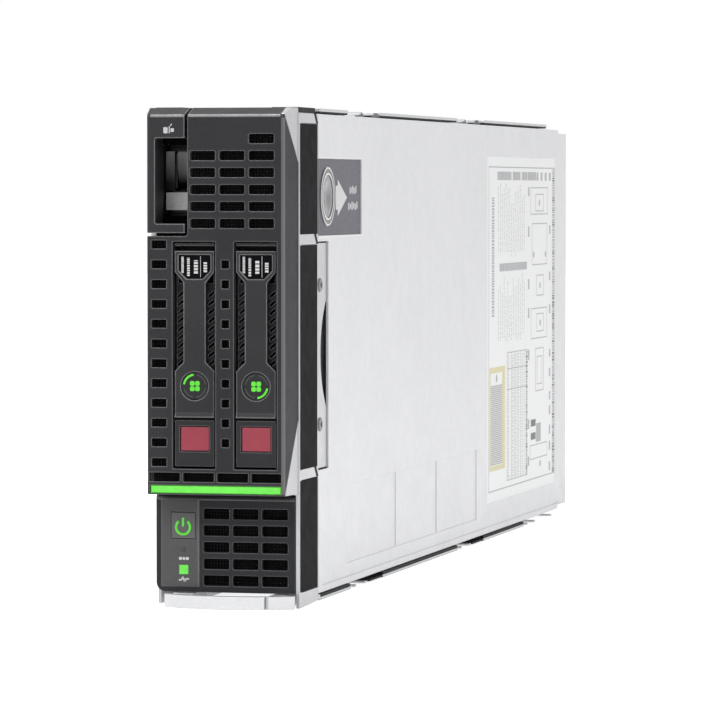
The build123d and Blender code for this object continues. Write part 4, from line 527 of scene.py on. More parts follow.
class Look:
    """A node material being built round one Principled shader."""

    def __init__(self, name, color, rough, metal=0.0, **sockets):
        self.material = bpy.data.materials.new(name)
        self.material.use_nodes = True
        self.tree = self.material.node_tree
        self.shader = self.tree.nodes["Principled BSDF"]
        self.shader.inputs["Metallic"].default_value = metal
        self.shader.inputs["Roughness"].default_value = rough
        self.shader.inputs["Base Color"].default_value = (*color, 1)
        for socket, value in sockets.items():
            self.shader.inputs[socket.replace("_", " ")].default_value = value
        self.rough = rough
        self.space = self.node("ShaderNodeTexCoord").outputs["Object"]
        self.tint = self.solid(color)
        self.normal = None

    def node(self, kind, **values):
        """Adds a node and sets its sockets or properties by name."""
        made = self.tree.nodes.new(kind)
        for name, value in values.items():
            if name in made.inputs:
                made.inputs[name].default_value = value
            else:
                setattr(made, name, value)
        return made

    def solid(self, color):
        """Output of a plain colour."""
        made = self.node("ShaderNodeRGB")
        made.outputs[0].default_value = (*color, 1)
        return made.outputs[0]

    def stretched(self, scale):
        """Object space scaled along its axes."""
        made = self.node("ShaderNodeMapping", Scale=scale)
        self.tree.links.new(self.space, made.inputs["Vector"])
        return made.outputs["Vector"]

    def noise(self, size_mm, detail=3.0, stretch=(1, 1, 1)):
        """Noise whose blobs are about this many millimetres across."""
        made = self.node("ShaderNodeTexNoise", Scale=1000 / size_mm, Detail=detail)
        self.tree.links.new(self.stretched(stretch), made.inputs["Vector"])
        return made.outputs["Fac"]

    def cells(self, size_mm):
        """Voronoi cells with one value each."""
        made = self.node("ShaderNodeTexVoronoi", Scale=1000 / size_mm)
        self.tree.links.new(self.stretched((1, 1, 1)), made.inputs["Vector"])
        split = self.node("ShaderNodeSeparateColor")
        self.tree.links.new(made.outputs["Color"], split.inputs[0])
        return split.outputs[0]

    def spread(self, value, low, high, to_low=0.0, to_high=1.0):
        """Maps a value from one range to another, clamped."""
        made = self.node("ShaderNodeMapRange")
        self.tree.links.new(value, made.inputs["Value"])
        for name, number in (("From Min", low), ("From Max", high), ("To Min", to_low), ("To Max", to_high)):
            made.inputs[name].default_value = number
        return made.outputs["Result"]

    def blend(self, factor, color):
        """Mixes a colour into the tint where the factor is high."""
        made = self.node("ShaderNodeMix", data_type="RGBA")
        self.tree.links.new(factor, made.inputs["Factor"])
        self.tree.links.new(self.tint, made.inputs["A"])
        made.inputs["B"].default_value = (*color, 1)
        self.tint = made.outputs["Result"]

    def shade(self, value, amount):
        """Makes the tint lighter and darker by up to this share with a 0 to 1 value."""
        made = self.node("ShaderNodeHueSaturation")
        self.tree.links.new(self.tint, made.inputs["Color"])
        self.tree.links.new(self.spread(value, 0.3, 0.7, 1 - amount, 1 + amount), made.inputs["Value"])
        self.tint = made.outputs["Color"]

    def roughen(self, value, amount):
        """Varies the roughness up and down with a 0 to 1 value."""
        low, high = self.rough - amount, self.rough + amount
        self.tree.links.new(self.spread(value, 0.3, 0.7, low, high), self.shader.inputs["Roughness"])

    def bump(self, value, depth_mm, strength):
        """Adds relief of a depth, over the relief and rounded edges set before."""
        made = self.node("ShaderNodeBump", Strength=strength, Distance=depth_mm * MM)
        self.tree.links.new(value, made.inputs["Height"])
        if self.normal is not None:
            self.tree.links.new(self.normal, made.inputs["Normal"])
        self.normal = made.outputs["Normal"]

    def soft_edges(self, radius_mm, color=None):
        """Rounds edges in the shading and blends an edge colour into them, which on plastics and sheets is
        lighter: part wear, part painted highlight.
        """
        rounded = self.node("ShaderNodeBevel", samples=6, Radius=radius_mm * MM)
        self.normal = rounded.outputs["Normal"]
        if color:
            flat = self.node("ShaderNodeNewGeometry")
            dot = self.node("ShaderNodeVectorMath", operation="DOT_PRODUCT")
            self.tree.links.new(rounded.outputs["Normal"], dot.inputs[0])
            self.tree.links.new(flat.outputs["True Normal"], dot.inputs[1])
            self.blend(self.spread(dot.outputs["Value"], 1 - EDGE_START, 1 - EDGE_FULL), color)

    def done(self):
        """Joins tint and relief to the shader and gives the material."""
        self.tree.links.new(self.tint, self.shader.inputs["Base Color"])
        if self.normal is not None:
            self.tree.links.new(self.normal, self.shader.inputs["Normal"])
        return self.material


def moulded(name, color, rough=0.42, edge=None, grain=0.35, radius=0.45, gloss=0.3):
    """Moulded plastic: fine spark grain, slow colour drift and rounded edges with an edge colour that is
    part wear and part painted highlight.
    """
    look = Look(name, color, rough, Specular_IOR_Level=gloss)
    look.soft_edges(radius, edge)
    look.shade(look.noise(30, 2), 0.10)
    look.shade(look.noise(0.8, 2), 0.06)
    look.bump(look.noise(grain, 2), 0.02, 0.35)
    look.roughen(look.noise(6, 3), 0.05)
    return look.done()


def faded(look, axis, start, end, color):
    """Blends a colour in along an object axis, between two places in millimetres."""
    split = look.node("ShaderNodeSeparateXYZ")
    look.tree.links.new(look.space, split.inputs[0])
    look.blend(look.spread(split.outputs[axis], start * MM, end * MM), color)


def stepped_plastic(name, deep, proud, d):
    """Moulded plastic of one colour behind a depth and of another in front of it."""
    look = Look(name, deep, 0.38, Specular_IOR_Level=0.08)
    step = FRONT_Y / MM + d
    faded(look, "Y", step + 0.01, step - 0.01, proud)
    look.shade(look.noise(30, 2), 0.10)
    look.shade(look.noise(0.8, 2), 0.06)
    look.soft_edges(0.6, EDGE_WEAR_AND_HIGHLIGHT)
    look.bump(look.noise(0.35, 2), 0.02, 0.35)
    look.roughen(look.noise(6, 3), 0.05)
    return look.done()


def scoop_painted_sheen():
    """Satin dark plastic that is lighter at its upper end, a painted sheen."""
    look = Look("scoop_painted_sheen", (0.004, 0.004, 0.004), 0.3)
    # Painted sheen: light grey at the top, fading to near black lower down
    faded(look, "Z", 154.0, 165.0, (0.42, 0.42, 0.43))
    look.shade(look.noise(4, 2), 0.08)
    look.bump(look.noise(0.35, 2), 0.02, 0.2)
    return look.done()


def sheet_metal(name, color, rough=0.36, metal=0.55, spangle=2.2):
    """Zinc-coated sheet: faint spangle, fine rolling lines and small scuffs."""
    look = Look(name, color, rough, metal)
    # Edges 15 % lighter: part wear, part painted highlight
    look.soft_edges(0.3, tuple(min(1.0, c * 1.15) for c in color))
    look.shade(look.cells(spangle), 0.012)
    look.shade(look.noise(0.9, 3), 0.02)
    look.shade(look.noise(60, 2), 0.02)
    look.bump(look.noise(1.2, 2, (1, 0.05, 1)), 0.01, 0.25)
    look.roughen(look.noise(9, 4), 0.06)
    return look.done()


def satin_metal(name, color, rough=0.25, stretch=(0.04, 1, 1), metal=0.85):
    """Satin metal with fine drawn lines."""
    look = Look(name, color, rough, metal)
    look.soft_edges(0.3)
    look.shade(look.noise(0.25, 3, stretch), 0.06)
    look.bump(look.noise(0.2, 2, stretch), 0.006, 0.4)
    look.roughen(look.noise(4, 3), 0.05)
    return look.done()


def lens(name, color, strength):
    """Lit plastic lens, brighter in the middle than at its rim."""
    look = Look(name, color, 0.25)
    look.shade(look.noise(3, 2), 0.08)
    look.soft_edges(0.25, tuple(c * 0.35 for c in color))
    look.tree.links.new(look.tint, look.shader.inputs["Emission Color"])
    look.shader.inputs["Emission Strength"].default_value = strength
    return look.done()


def circuit(name, color, trace):
    """Solder mask with traces under it, pads and a slight gloss."""
    look = Look(name, color, 0.35)
    wave = look.node("ShaderNodeTexWave", Scale=260.0, Distortion=9.0, Detail=1.0, bands_direction="Z")
    look.tree.links.new(look.space, wave.inputs["Vector"])
    traces = look.spread(wave.outputs["Fac"], 0.82, 0.9, 0.0, 0.35)
    look.blend(traces, trace)
    look.blend(traces, trace)
    look.blend(look.spread(look.cells(1.4), 0.95, 0.96, 0.0, 0.8), (0.62, 0.6, 0.5))
    look.shade(look.noise(12, 2), 0.08)
    look.bump(look.noise(0.5, 2), 0.01, 0.3)
    return look.done()


def printed(name, color, rough=0.45, gloss=0.4):
    """Screen-printed ink, slightly uneven."""
    look = Look(name, color, rough, Specular_IOR_Level=gloss)
    look.shade(look.noise(0.7, 3), 0.08)
    look.roughen(look.noise(1.5, 2), 0.05)
    return look.done()


def film(name, color):
    """Smooth white label film with a faint waviness."""
    look = Look(name, color, 0.32)
    look.shade(look.noise(45, 2), 0.012)
    look.shade(look.noise(1.0, 3), 0.012)
    look.bump(look.noise(25, 2), 0.05, 0.15)
    return look.done()


def clear_cover(name, color):
    """Clear moulded cover with a slight haze."""
    look = Look(name, color, 0.04, Transmission_Weight=0.96, IOR=1.3)
    look.shade(look.noise(20, 2), 0.03)
    look.bump(look.noise(30, 2), 0.02, 0.1)
    return look.done()


GREEN = (0.13, 0.70, 0.06)

# Look of each slot: its kind, and that function's values after the name
# The edge colours below are lighter than the base: part wear, part painted highlight, strongest on the catch
# and the red button
RECIPES = {
    "bezel_plastic": (moulded, DARK, 0.38, EDGE_WEAR_AND_HIGHLIGHT, 0.35, 0.8, 0.08),
    "carrier_plastic": (stepped_plastic, (0.014, 0.014, 0.015), (0.036, 0.036, 0.038), 2.4),
    "handle_plastic": (moulded, (0.036, 0.036, 0.038), 0.45, (0.42, 0.42, 0.42), 0.35, 0.85,
                       0.12),
    "frame_metal": (sheet_metal, (0.50, 0.50, 0.51), 0.34, 0.45, 1.6),
    "tray_metal": (sheet_metal, (0.52, 0.53, 0.54), 0.38, 0.5, 3.0),
    "panel_metal": (sheet_metal, (0.69, 0.69, 0.70), 0.42, 0.30, 2.4),
    "strip_black": (moulded, (0.011, 0.011, 0.012), 0.6, (0.03, 0.03, 0.031), 0.6, 0.3, 0.02),
    "rubber_black": (moulded, (0.016, 0.016, 0.017), 0.7, None, 0.6, 0.3, 0.2),
    "label_sheet": (film, (0.84, 0.84, 0.835)),
    "lever_metal": (satin_metal, (0.70, 0.70, 0.71), 0.38, (0.04, 1, 1), 0.35),
    "button_red": (moulded, (0.36, 0.060, 0.085), 0.40, (0.62, 0.19, 0.22), 0.35, 0.9, 0.2),
    "button_dark": (moulded, (0.12, 0.12, 0.122), 0.36, (0.34, 0.34, 0.35)),
    "light_green": (lens, GREEN, 0.22),
    "status_face": (moulded, (0.03, 0.03, 0.032), 0.35, (0.12, 0.12, 0.125), 0.35, 0.45, 0.15),
    "catch_plastic": (moulded, (0.16, 0.16, 0.165), 0.16, (0.7, 0.7, 0.7), 0.5, 0.5, 1.0),
    "catch_metal": (satin_metal, (0.13, 0.13, 0.135), 0.30, (1, 1, 1), 0.3),
    "board_green": (circuit, (0.02, 0.12, 0.05), (0.05, 0.26, 0.11)),
    "connector_black": (moulded, (0.014, 0.014, 0.015), 0.4, (0.06, 0.06, 0.06)),
    "connector_light": (moulded, (0.52, 0.49, 0.40), 0.4, (0.7, 0.68, 0.6)),
    "heatsink_metal": (satin_metal, (0.60, 0.61, 0.62), 0.34, (1, 0.05, 1), 0.6),
    "chip_metal": (satin_metal, (0.62, 0.62, 0.62), 0.3),
    "disk_metal": (sheet_metal, (0.40, 0.41, 0.42), 0.4, 0.7, 1.5),
    "steel_plain": (satin_metal, (0.52, 0.52, 0.53), 0.32, (1, 1, 1), 0.7),
    "cell_metal": (satin_metal, (0.75, 0.75, 0.76), 0.25, (1, 1, 1)),
    "clear_plastic": (clear_cover, (0.90, 0.93, 0.94)),
    "pack_plastic": (moulded, (0.03, 0.045, 0.14), 0.35, (0.1, 0.13, 0.3)),
}
LOOKS = {slot: kind(slot, *values) for slot, (kind, *values) in RECIPES.items()}

# Looks of the pieces that this script adds
WHITE_INK = printed("white_ink", (0.66, 0.66, 0.66))
GREY_INK = printed("grey_ink", (0.42, 0.42, 0.43))
PALE_INK = printed("pale_ink", (0.56, 0.56, 0.57))
BLACK_INK = printed("black_ink", (0.10, 0.10, 0.105))
YELLOW_INK = printed("yellow_ink", (0.72, 0.66, 0.38))
FIELD_INK = printed("field_ink", (0.125, 0.122, 0.142), 0.45, 0.12)
GLASS_BLACK = printed("window_black", (0.004, 0.004, 0.005), 0.3, 0.03)
# Near black of the air screens, also used for painted shade in slot ends, pad gaps and screw recesses
SCREEN_AND_SHADE_BLACK = moulded("screen_and_shade_black", (0.005, 0.005, 0.0055), 0.6, None, 0.6, 0.1, 0.1)
SCOOP_SHEEN = scoop_painted_sheen()
POLISHED = moulded("polished_edge", (0.05, 0.05, 0.053), 0.34, None, 0.35, 0.3, 1.0)
# Pale paint for the highlights on the catch field's rim and the catch ring's edges
RIM_HIGHLIGHT = printed("rim_highlight_white", (0.80, 0.80, 0.81), 0.35)
PATCH_WHITE = printed("patch_white", (0.92, 0.92, 0.92))
CONTROL_PLASTIC = stepped_plastic("lower_bezel_plastic", DARK, (0.11, 0.108, 0.11), 13.67)
LIT = lens("lit_segment", (0.08, 0.55, 0.02), 0.4)
# Light grey for the painted highlight along the control area's edge
EDGE_HIGHLIGHT_LINE = moulded("edge_highlight_line", (0.20, 0.20, 0.20), 0.4)
UNLIT = moulded("unlit_segment", (0.06, 0.06, 0.062), 0.3)
CHIP_BLACK = moulded("chip_black", (0.018, 0.018, 0.02), 0.45, (0.07, 0.07, 0.07), 0.3, 0.15)
# Dark grey of the ferrite chokes, also laid on the hooks as painted shade
FERRITE_AND_SHADE = moulded("ferrite_and_shade_grey", (0.09, 0.09, 0.095), 0.5, (0.2, 0.2, 0.2), 0.5, 0.3)
SCREW_ZINC = satin_metal("screw_zinc", (0.22, 0.22, 0.225), 0.35, (1, 1, 1), 0.3)
SOLDER = satin_metal("solder_tin", (0.68, 0.68, 0.70), 0.3, (1, 1, 1))
GOLD = satin_metal("contact_gold", (0.80, 0.60, 0.28), 0.28, (1, 1, 1))


def dress_nodes():
    """Gives each CAD node the material of its slot."""
    for part in frame["record"]["subparts"]:
        node = NODES[part["node"]]
        node.data.materials.clear()
        look = CONTROL_PLASTIC if part["node"] == "lower_bezel" else LOOKS[part["material_slot"]]
        node.data.materials.append(look)


# ---- front pieces ----

def handle_label(number, x):
    """Black plate in the handle's window, with columns of plain marks."""
    body = f"drive_{number}_handle"
    floor = front(WINDOW_D)
    left, right = x - WINDOW_HALF + WINDOW_MARGIN, x + WINDOW_HALF - WINDOW_MARGIN
    foot, top = WINDOW_FOOT + WINDOW_MARGIN, WINDOW_TOP - WINDOW_MARGIN
    plate = [(right, top), (left, top), (left, foot + WINDOW_CUT), (left + WINDOW_CUT, foot),
             (right - WINDOW_CUT, foot), (right, foot + WINDOW_CUT)]
    prisms(f"{body}_plate", floor, [plate], LAID, 0.12, GLASS_BLACK, body, "status_face")
    marks = []
    rng = random.Random(number)
    for u, width, v0, v1, size in MARK_COLUMNS:
        for low, high in dashes(rng, v0, v1, size * 0.8, size * 1.25, MARK_FILL):
            marks.append(bar(x + u - width / 2, x + u + width / 2, low, min(high, v1)))
    u0, u1, v0, v1 = MARK_LINE
    marks.append(bar(x + u0, x + u1, v0, v1))
    prisms(f"{body}_marks", floor, marks, 0.1, 0.15, WHITE_INK, body, "label_sheet")


def status_light(number, x):
    """Four-lobed lit middle, lit arc and unlit arcs on the drive's round light unit."""
    body = f"drive_{number}"
    face = front(RING_D)
    starts = (-LOBE - LOBE_GAP / 2, LOBE_GAP / 2)
    lobes = [round_bar(x + a, x + a + LOBE, RING_Z + b, RING_Z + b + LOBE, LOBE_ROUND)
             for a in starts for b in starts]
    prisms(f"{body}_middle_light", face, lobes, LAID, 0.14, LIT, body, "light_green")
    lit = LIT_ARC[number]
    unlit = [arc_bar(x, RING_Z, *UNLIT_RADII, *arc) for arc in ARCS if arc != lit]
    prisms(f"{body}_arc_light", face, [arc_bar(x, RING_Z, *LIT_RADII, *lit)], LAID, 0.12, LIT, body,
           "light_green")
    prisms(f"{body}_arcs_unlit", face, unlit, LAID, 0.06, UNLIT, body, "status_face")


def polished_edges():
    """Polished rounds along the top and right edges of the bezels and the pull tab."""
    for name, plane, (start, length), arc, body in (
            ("tab_edge", side, TAB_EDGE, TOP_ROUND, "pull_tab"),
            ("bezel_top_edge", side, TOP_EDGE, TOP_ROUND, "chassis"),
            ("bezel_right_edge", level, RIGHT_EDGE, RIGHT_ROUND, "chassis"),
            ("lower_top_edge", side, LOWER_EDGE, LOWER_ROUND, "chassis")):
        prisms(name, plane(start), [arc_bar(*arc)], 0.0, length, POLISHED, body, "bezel_plastic")


def power_symbol():
    """Lit power symbol on its button."""
    half, low, high = POWER_STEM
    outlines = [arc_bar(POWER_X, POWER_Z, *POWER_RADII, *POWER_ARC, 40),
                bar(POWER_X - half, POWER_X + half, POWER_Z + low, POWER_Z + high)]
    prisms("power_symbol", front(POWER_D), outlines, LAID, 0.08, LIT, "power_button", "light_green")


def control_icons():
    """Small plain marks above and below the square light, the dark dot and a painted highlight along the
    area's edge.
    """
    face = front(CONTROL_D)
    above = [round_bar(LIGHT_X + u0, LIGHT_X + u1, *WORD_Z, r, 3) for u0, u1, r in WORD_PARTS]
    below = [stroke(LIGHT_X + a[0], a[1], LIGHT_X + b[0], b[1], BEAT_W) for a, b in zip(BEAT, BEAT[1:])]
    prisms("control_marks", face, above + below, LAID, 0.05, WHITE_INK, "chassis", "label_sheet")
    prisms("dot_cover", face, [disc(LIGHT_X, DOT_Z, DOT_R, 20)], LAID, 0.1, UNLIT, "chassis", "status_face")
    prisms("control_edge_highlight", face, [bar(*CONTROL_EDGE_HIGHLIGHT)], LAID, 0.06, EDGE_HIGHLIGHT_LINE, "chassis", "bezel_plastic")


def mesh_screen(name, d, u0, u1, v0, v1):
    """Fine dark air screen: upright and level wires with a solid rim."""
    bars = frame_lines(u0, u1, v0, v1, WIRE_W)
    for low, high, upright in ((u0, u1, True), (v0, v1, False)):
        count = int((high - low) / WIRE_PITCH)
        step = (high - low) / count
        for i in range(1, count):
            at = low + i * step - WIRE_W / 2
            bars.append(bar(at, at + WIRE_W, v0 + WIRE_W, v1 - WIRE_W) if upright
                        else bar(u0 + WIRE_W, u1 - WIRE_W, at, at + WIRE_W))
    prisms(name, front(d), bars, -WIRE_THICK, 0.0, SCREEN_AND_SHADE_BLACK, "chassis", "strip_black")


def grille_screen():
    """Screen close behind the upper grille, and black film that paints shade into the ends of its slots."""
    mesh_screen("screen_grille", *GRILLE_SCREEN)
    rows = [SHADE_TOP - SHADE_PITCH * row for row in range(1, SHADE_ROWS + 1)]
    shades = [bar(*SHADE_X, z - SHADE_HALF, z + SHADE_HALF) for z in rows]
    # Painted shade in the slots' ends
    prisms("grille_shade", front(SHADE_D), shades, 0.0, 0.05, SCREEN_AND_SHADE_BLACK, "chassis", "strip_black")


def vent_screens():
    """Screens close behind the vents and the lower grille."""
    for name, box in VENT_SCREENS.items():
        mesh_screen(name, *box)


def connector_scoop():
    """Curved guide inside the front connector's socket, its ear and the blank patch below it."""
    (d, z), (reach_d, reach_z), (wall_d, wall_z) = SCOOP_START, SCOOP_REACH, SCOOP_WALL
    angles = [math.radians(90 * i / SCOOP_STEPS) for i in range(SCOOP_STEPS + 1)]
    curve = [(d + reach_d * (1 - math.cos(a)), z - reach_z * math.sin(a)) for a in angles]
    inner = [(u + wall_d, v + wall_z) for u, v in curve]
    # The guide and its ear take the look with the painted sheen at the upper end
    prisms("connector_scoop", side(SCOOP_X[0]), [curve[::-1] + inner], 0.0, SCOOP_X[1] - SCOOP_X[0], SCOOP_SHEEN,
           "chassis", "connector_black")
    face = front(SOCKET_D)
    prisms("connector_ear", face, [bar(*EAR)], LAID, 0.12, SCOOP_SHEEN, "chassis", "connector_black")
    prisms("connector_patch", face, [round_bar(*PATCH)], LAID, 0.15, PATCH_WHITE, "chassis", "label_sheet")


def tab_icon():
    """Small plug-like mark on the pull tab."""
    shapes = [round_bar(*TAB_PLUG, TAB_PLUG_ROUND, 2)] + [bar(*box) for box in TAB_BARS]
    shapes.append(stroke(*TAB_CORD, TAB_CORD_W))
    x, z = TAB_MARK
    shapes = [[(x + u, z + v) for u, v in shape] for shape in shapes]
    prisms("tab_mark", front(0.0), shapes, LAID, 0.03, PALE_INK, "pull_tab", "label_sheet")


# ---- side pieces ----

def strip_edges():
    """Dark folds of the edge strips over the frame's lip."""
    prisms("strip_edges", side(SIDE_X), [bar(*STRIP_FOLD, *span) for span in STRIP_SPANS], LAID, 0.12,
           LOOKS["strip_black"], "chassis", "strip_black")


def film_outline(hole):
    """Outline of the catch field with as many points as its round hole, corners included."""
    u0, u1, v0, v1 = FIELD
    outer = []
    for u, v in hole:
        du, dv = u - CATCH_D, v - CATCH_Z
        reach_u = ((u1 if du > 0 else u0) - CATCH_D) / du if abs(du) > 1e-6 else math.inf
        reach_v = ((v1 if dv > 0 else v0) - CATCH_Z) / dv if abs(dv) > 1e-6 else math.inf
        reach = min(reach_u, reach_v)
        outer.append((CATCH_D + du * reach, CATCH_Z + dv * reach))
    for corner in ((u1, v1), (u0, v1), (u0, v0), (u1, v0)):
        nearest = min(range(len(outer)), key=lambda i: math.dist(outer[i], corner))
        outer[nearest] = corner
    return outer


def catch_field():
    """Grey film round the catch, with an arrow and two plain rows of marks; its pale rim and the ring's
    lines are painted highlights.
    """
    hole = disc(CATCH_D, CATCH_Z, FIELD_HOLE, FIELD_STEPS)
    bm = bmesh.new()
    add_band(bm, side(FIELD_X), film_outline(hole), hole, PRINTED, 0.06)
    finish_mesh("catch_field_film", bm, FIELD_INK, "access_panel", "catch_plastic")
    prisms("catch_arrow", side(FIELD_X), [ARROW], 0.05, 0.1, WHITE_INK, "access_panel", "label_sheet")
    prisms("field_rim_highlight", side(SIDE_X), [bar(*box) for box in FIELD_RIM_HIGHLIGHT], LAID, 0.08, RIM_HIGHLIGHT,
           "access_panel", "panel_metal")
    bm = bmesh.new()
    for outer_r, inner_r in CATCH_HIGHLIGHT_LINES:
        outer, inner = disc(CATCH_D, CATCH_Z, outer_r), disc(CATCH_D, CATCH_Z, inner_r)
        add_band(bm, side(SIDE_X), outer, inner, LAID, 0.1)
    finish_mesh("catch_ring_highlights", bm, RIM_HIGHLIGHT, "access_panel", "catch_metal")
    rows = []
    for u0, u1, v0, v1 in FIELD_ROWS:
        pitch = (u1 - u0) / FIELD_MARKS
        for i in range(FIELD_MARKS):
            at = u0 + i * pitch
            rows.append(bar(at, at + MARK_FILL * pitch, v0 + (i % 2) * 0.5, v1 - ((i + 1) % 3) * 0.4))
    prisms("catch_rows", side(FIELD_X), rows, 0.05, 0.09, PALE_INK, "access_panel", "label_sheet")


def service_print():
    """Plain drawings, rows and a table on the service label, in the photo's layout."""
    rng = random.Random(PRINT_SEED)
    dark, pale = [], []
    grey = frame_lines(*LABEL_FRAME, FRAME_LINE)
    u0, u1, start, end = EDGE_TICKS
    for v0, v1 in dashes(rng, start, end, *EDGE_DASH):
        (dark if rng.random() < EDGE_DARK else grey).append(bar(u0, u1, v0, v1))
    for start, end in TITLES:
        grey += [bar(u0, min(u1, end), *TITLE_Z) for u0, u1 in dashes(rng, start, end, *TITLE_DASH)]
    grey += [bar(u, u + TITLE_BLOCK_W, *TITLE_BLOCK_Z) for u in TITLE_BLOCKS]
    u0, u1, start, end = LEFT_TICKS
    grey += [bar(u0, u1, *ends) for ends in dashes(rng, start, end, *LEFT_DASH)]
    start, end, v0, v1 = DIVIDER
    grey += [bar(*ends, v0, v1) for ends in dashes(rng, start, end, *DIVIDER_DASH)]
    for u in TEXT_LINES:
        for low, high in TEXT_BLOCKS:
            start = low + rng.uniform(0, TEXT_RAGGED[0])
            end = high - rng.uniform(0, TEXT_RAGGED[1])
            pale += [bar(u, u + TEXT_W, *ends) for ends in dashes(rng, start, end, *TEXT_DASH, TEXT_GAP)]
    grey += [bar(*CALLOUT_LEFT, *span) for span in CALLOUT_LEFT_Z]
    grey += [bar(*CALLOUT_RIGHT, *span) for span in CALLOUT_RIGHT_Z]
    for box in DRAWING_BOXES:
        grey += frame_lines(*box, DRAWING_LINE)
    grey += [disc(u, v, DRAWING_DOT_R, 14) for u, v in DRAWING_DOTS]
    dark += [bar(*box) for box in DARK_BLOCKS]
    grey += [bar(*GREY_BLOCK), bar(*TABLE_LEFT)]
    grey += [bar(u, u + TABLE_LINE, *TABLE_COLUMN_Z) for u in TABLE_COLUMNS]
    grey += [bar(*TABLE_ROW_D, v, v + TABLE_ROW_LINE) for v in TABLE_ROWS]
    u0, u1, start, end = TABLE_TICKS
    for v0, v1 in dashes(rng, start, end, *TABLE_DASH):
        (dark if rng.random() < TABLE_DARK else grey).append(bar(u0, u1, v0, v1))
    for u in TABLE_TEXT:
        pale += [bar(u - TABLE_TEXT_HALF, u + TABLE_TEXT_HALF, *ends)
                 for ends in dashes(rng, *TABLE_TEXT_Z, *TABLE_TEXT_DASH)]
    yellow = [bar(*box) for box in YELLOW_FRAME]
    feet = [BLOCK_FOOT + BLOCK_PITCH * i for i in range(BLOCK_LINES)]
    rows = [bar(*BLOCK_D, v, v + BLOCK_LINE) for v in feet] + [disc(*BLOCK_DOT, 14)]
    for name, shapes, height, ink in (("dark", dark, 0.05, BLACK_INK), ("grey", grey, 0.04, GREY_INK),
                                      ("pale", pale, 0.03, PALE_INK), ("yellow", yellow, 0.04, YELLOW_INK),
                                      ("rows", rows, 0.04, GREY_INK)):
        prisms(f"label_print_{name}", side(LABEL_X), shapes, PRINTED, height, ink, "access_panel",
               "label_sheet")


def hook_shade_faces():
    """Dark outer faces laid on the near hooks as painted shade."""
    outlines = []
    for d in HOOK_D:
        outlines.append([(d + u, HOOK_FOOT + v) for u, v in TOOTH])
        centre = d + BUMP_MIDDLE
        across = [BUMP_HALF * (1 - 2 * i / BUMP_STEPS) for i in range(BUMP_STEPS + 1)]
        crown = [(centre + u, BUMP_TOP - BUMP_R + math.sqrt(BUMP_R ** 2 - u ** 2)) for u in across]
        outlines.append([(centre - BUMP_HALF, HOOK_FOOT), (centre + BUMP_HALF, HOOK_FOOT)] + crown)
    prisms("hook_shade_faces", side(RAIL_X), outlines, -0.5, 0.06, FERRITE_AND_SHADE, "chassis", "rubber_black")


def pad_gap_shadows():
    """Black prisms that paint the shadow in the gaps across the frame's pads, above each edge strip."""
    tops = [span[0] for span in STRIP_SPANS[1:]] + [PANEL_TOP]
    gaps = []
    for (_, strip_top), z1 in zip(STRIP_SPANS, tops):
        z0 = strip_top + GAP_ABOVE_STRIP
        gaps.append([(GAP_TOP[0], z1), (GAP_TOP[1], z1), (GAP_FOOT[1], z0), (GAP_FOOT[0], z0)])
    prisms("pad_gap_shadows", side(SIDE_X), gaps, -0.5, 0.06, SCREEN_AND_SHADE_BLACK, "chassis", "strip_black")


def lip_shadow_strips():
    """Black strips that paint the shadow under the lips of the near guide rails."""
    outlines = [bar(u0 + LIP_SHADOW_INSET, u1 - LIP_SHADOW_INSET, v0, v1)
                for spans, v0, v1 in LIP_SHADOW_STRIPS for u0, u1 in spans]
    # The rubber look only lends its colour: these strips are painted shadow
    prisms("lip_shadow_strips", side(LIP_SHADOW_X), outlines, 0.0, LIP_SHADOW_DEEP, LOOKS["rubber_black"], "chassis",
           "rubber_black")


# ---- inside and rear pieces ----

def screws():
    """Screws of the cage bracket with painted shade in their recesses, the board's screws, and the
    heatsinks' sprung screws.
    """
    steel = LOOKS["steel_plain"]
    face = side(BRACKET_X)
    turned("bracket_screws", face, BRACKET_SCREWS, screw_profile(*BRACKET_HEAD), SCREW_ZINC, "chassis",
           "steel_plain")
    # Black discs that paint shade into the bracket screws' recesses
    turned("bracket_screw_recess_shade", face, BRACKET_SCREWS, BRACKET_RECESS_SHADE, SCREEN_AND_SHADE_BLACK, "chassis",
           "strip_black")
    spots = [(d, z) for d in BOARD_SCREW_D for z in BOARD_SCREW_Z]
    turned("board_screws", side(BOARD_X), spots, screw_profile(*BOARD_HEAD), steel, "chassis", "steel_plain")
    foot_top = SPRUNG_FOOT[-1][1]
    coil = [(COIL_R[i % 2], foot_top + i * COIL_PITCH, 0) for i in range(COIL_RINGS)]
    spots = [(d + u, SINK_Z + v) for d in SINK_D for u in (-SINK_SCREW_D, SINK_SCREW_D)
             for v in (-SINK_SCREW_Z, SINK_SCREW_Z)]
    turned("heatsink_screws", side(SINK_SCREW_X), spots, SPRUNG_FOOT + coil + SPRUNG_HEAD, steel, "chassis",
           "steel_plain")


def memory_chips():
    """Chips on both faces of every memory module, and a plain label on one."""
    chips, labels = [], []
    for z in MODULE_Z:
        for d in SINK_D:
            for way in (1, -1):
                face = level(z + way * MODULE_HALF, way)
                for i in range(CHIPS):
                    v = d + CHIP_FIRST + i * CHIP_PITCH + (CHIP_JUMP if i > CHIPS // 2 else 0)
                    chips.append((face, bar(*CHIP_X, v, v + CHIP_LENGTH)))
            label = bar(*MODULE_LABEL_X, d + MODULE_LABEL_D[0], d + MODULE_LABEL_D[1])
            labels.append((level(z - MODULE_HALF, -1), label))
    for name, shapes, height, look, slot in (("memory_chips", chips, 0.9, CHIP_BLACK, "connector_black"),
                                             ("memory_labels", labels, 0.12, WHITE_INK, "label_sheet")):
        bm = bmesh.new()
        for face, outline in shapes:
            add_prism(bm, face, outline, LAID, height)
        finish_mesh(name, bm, look, "chassis", slot)


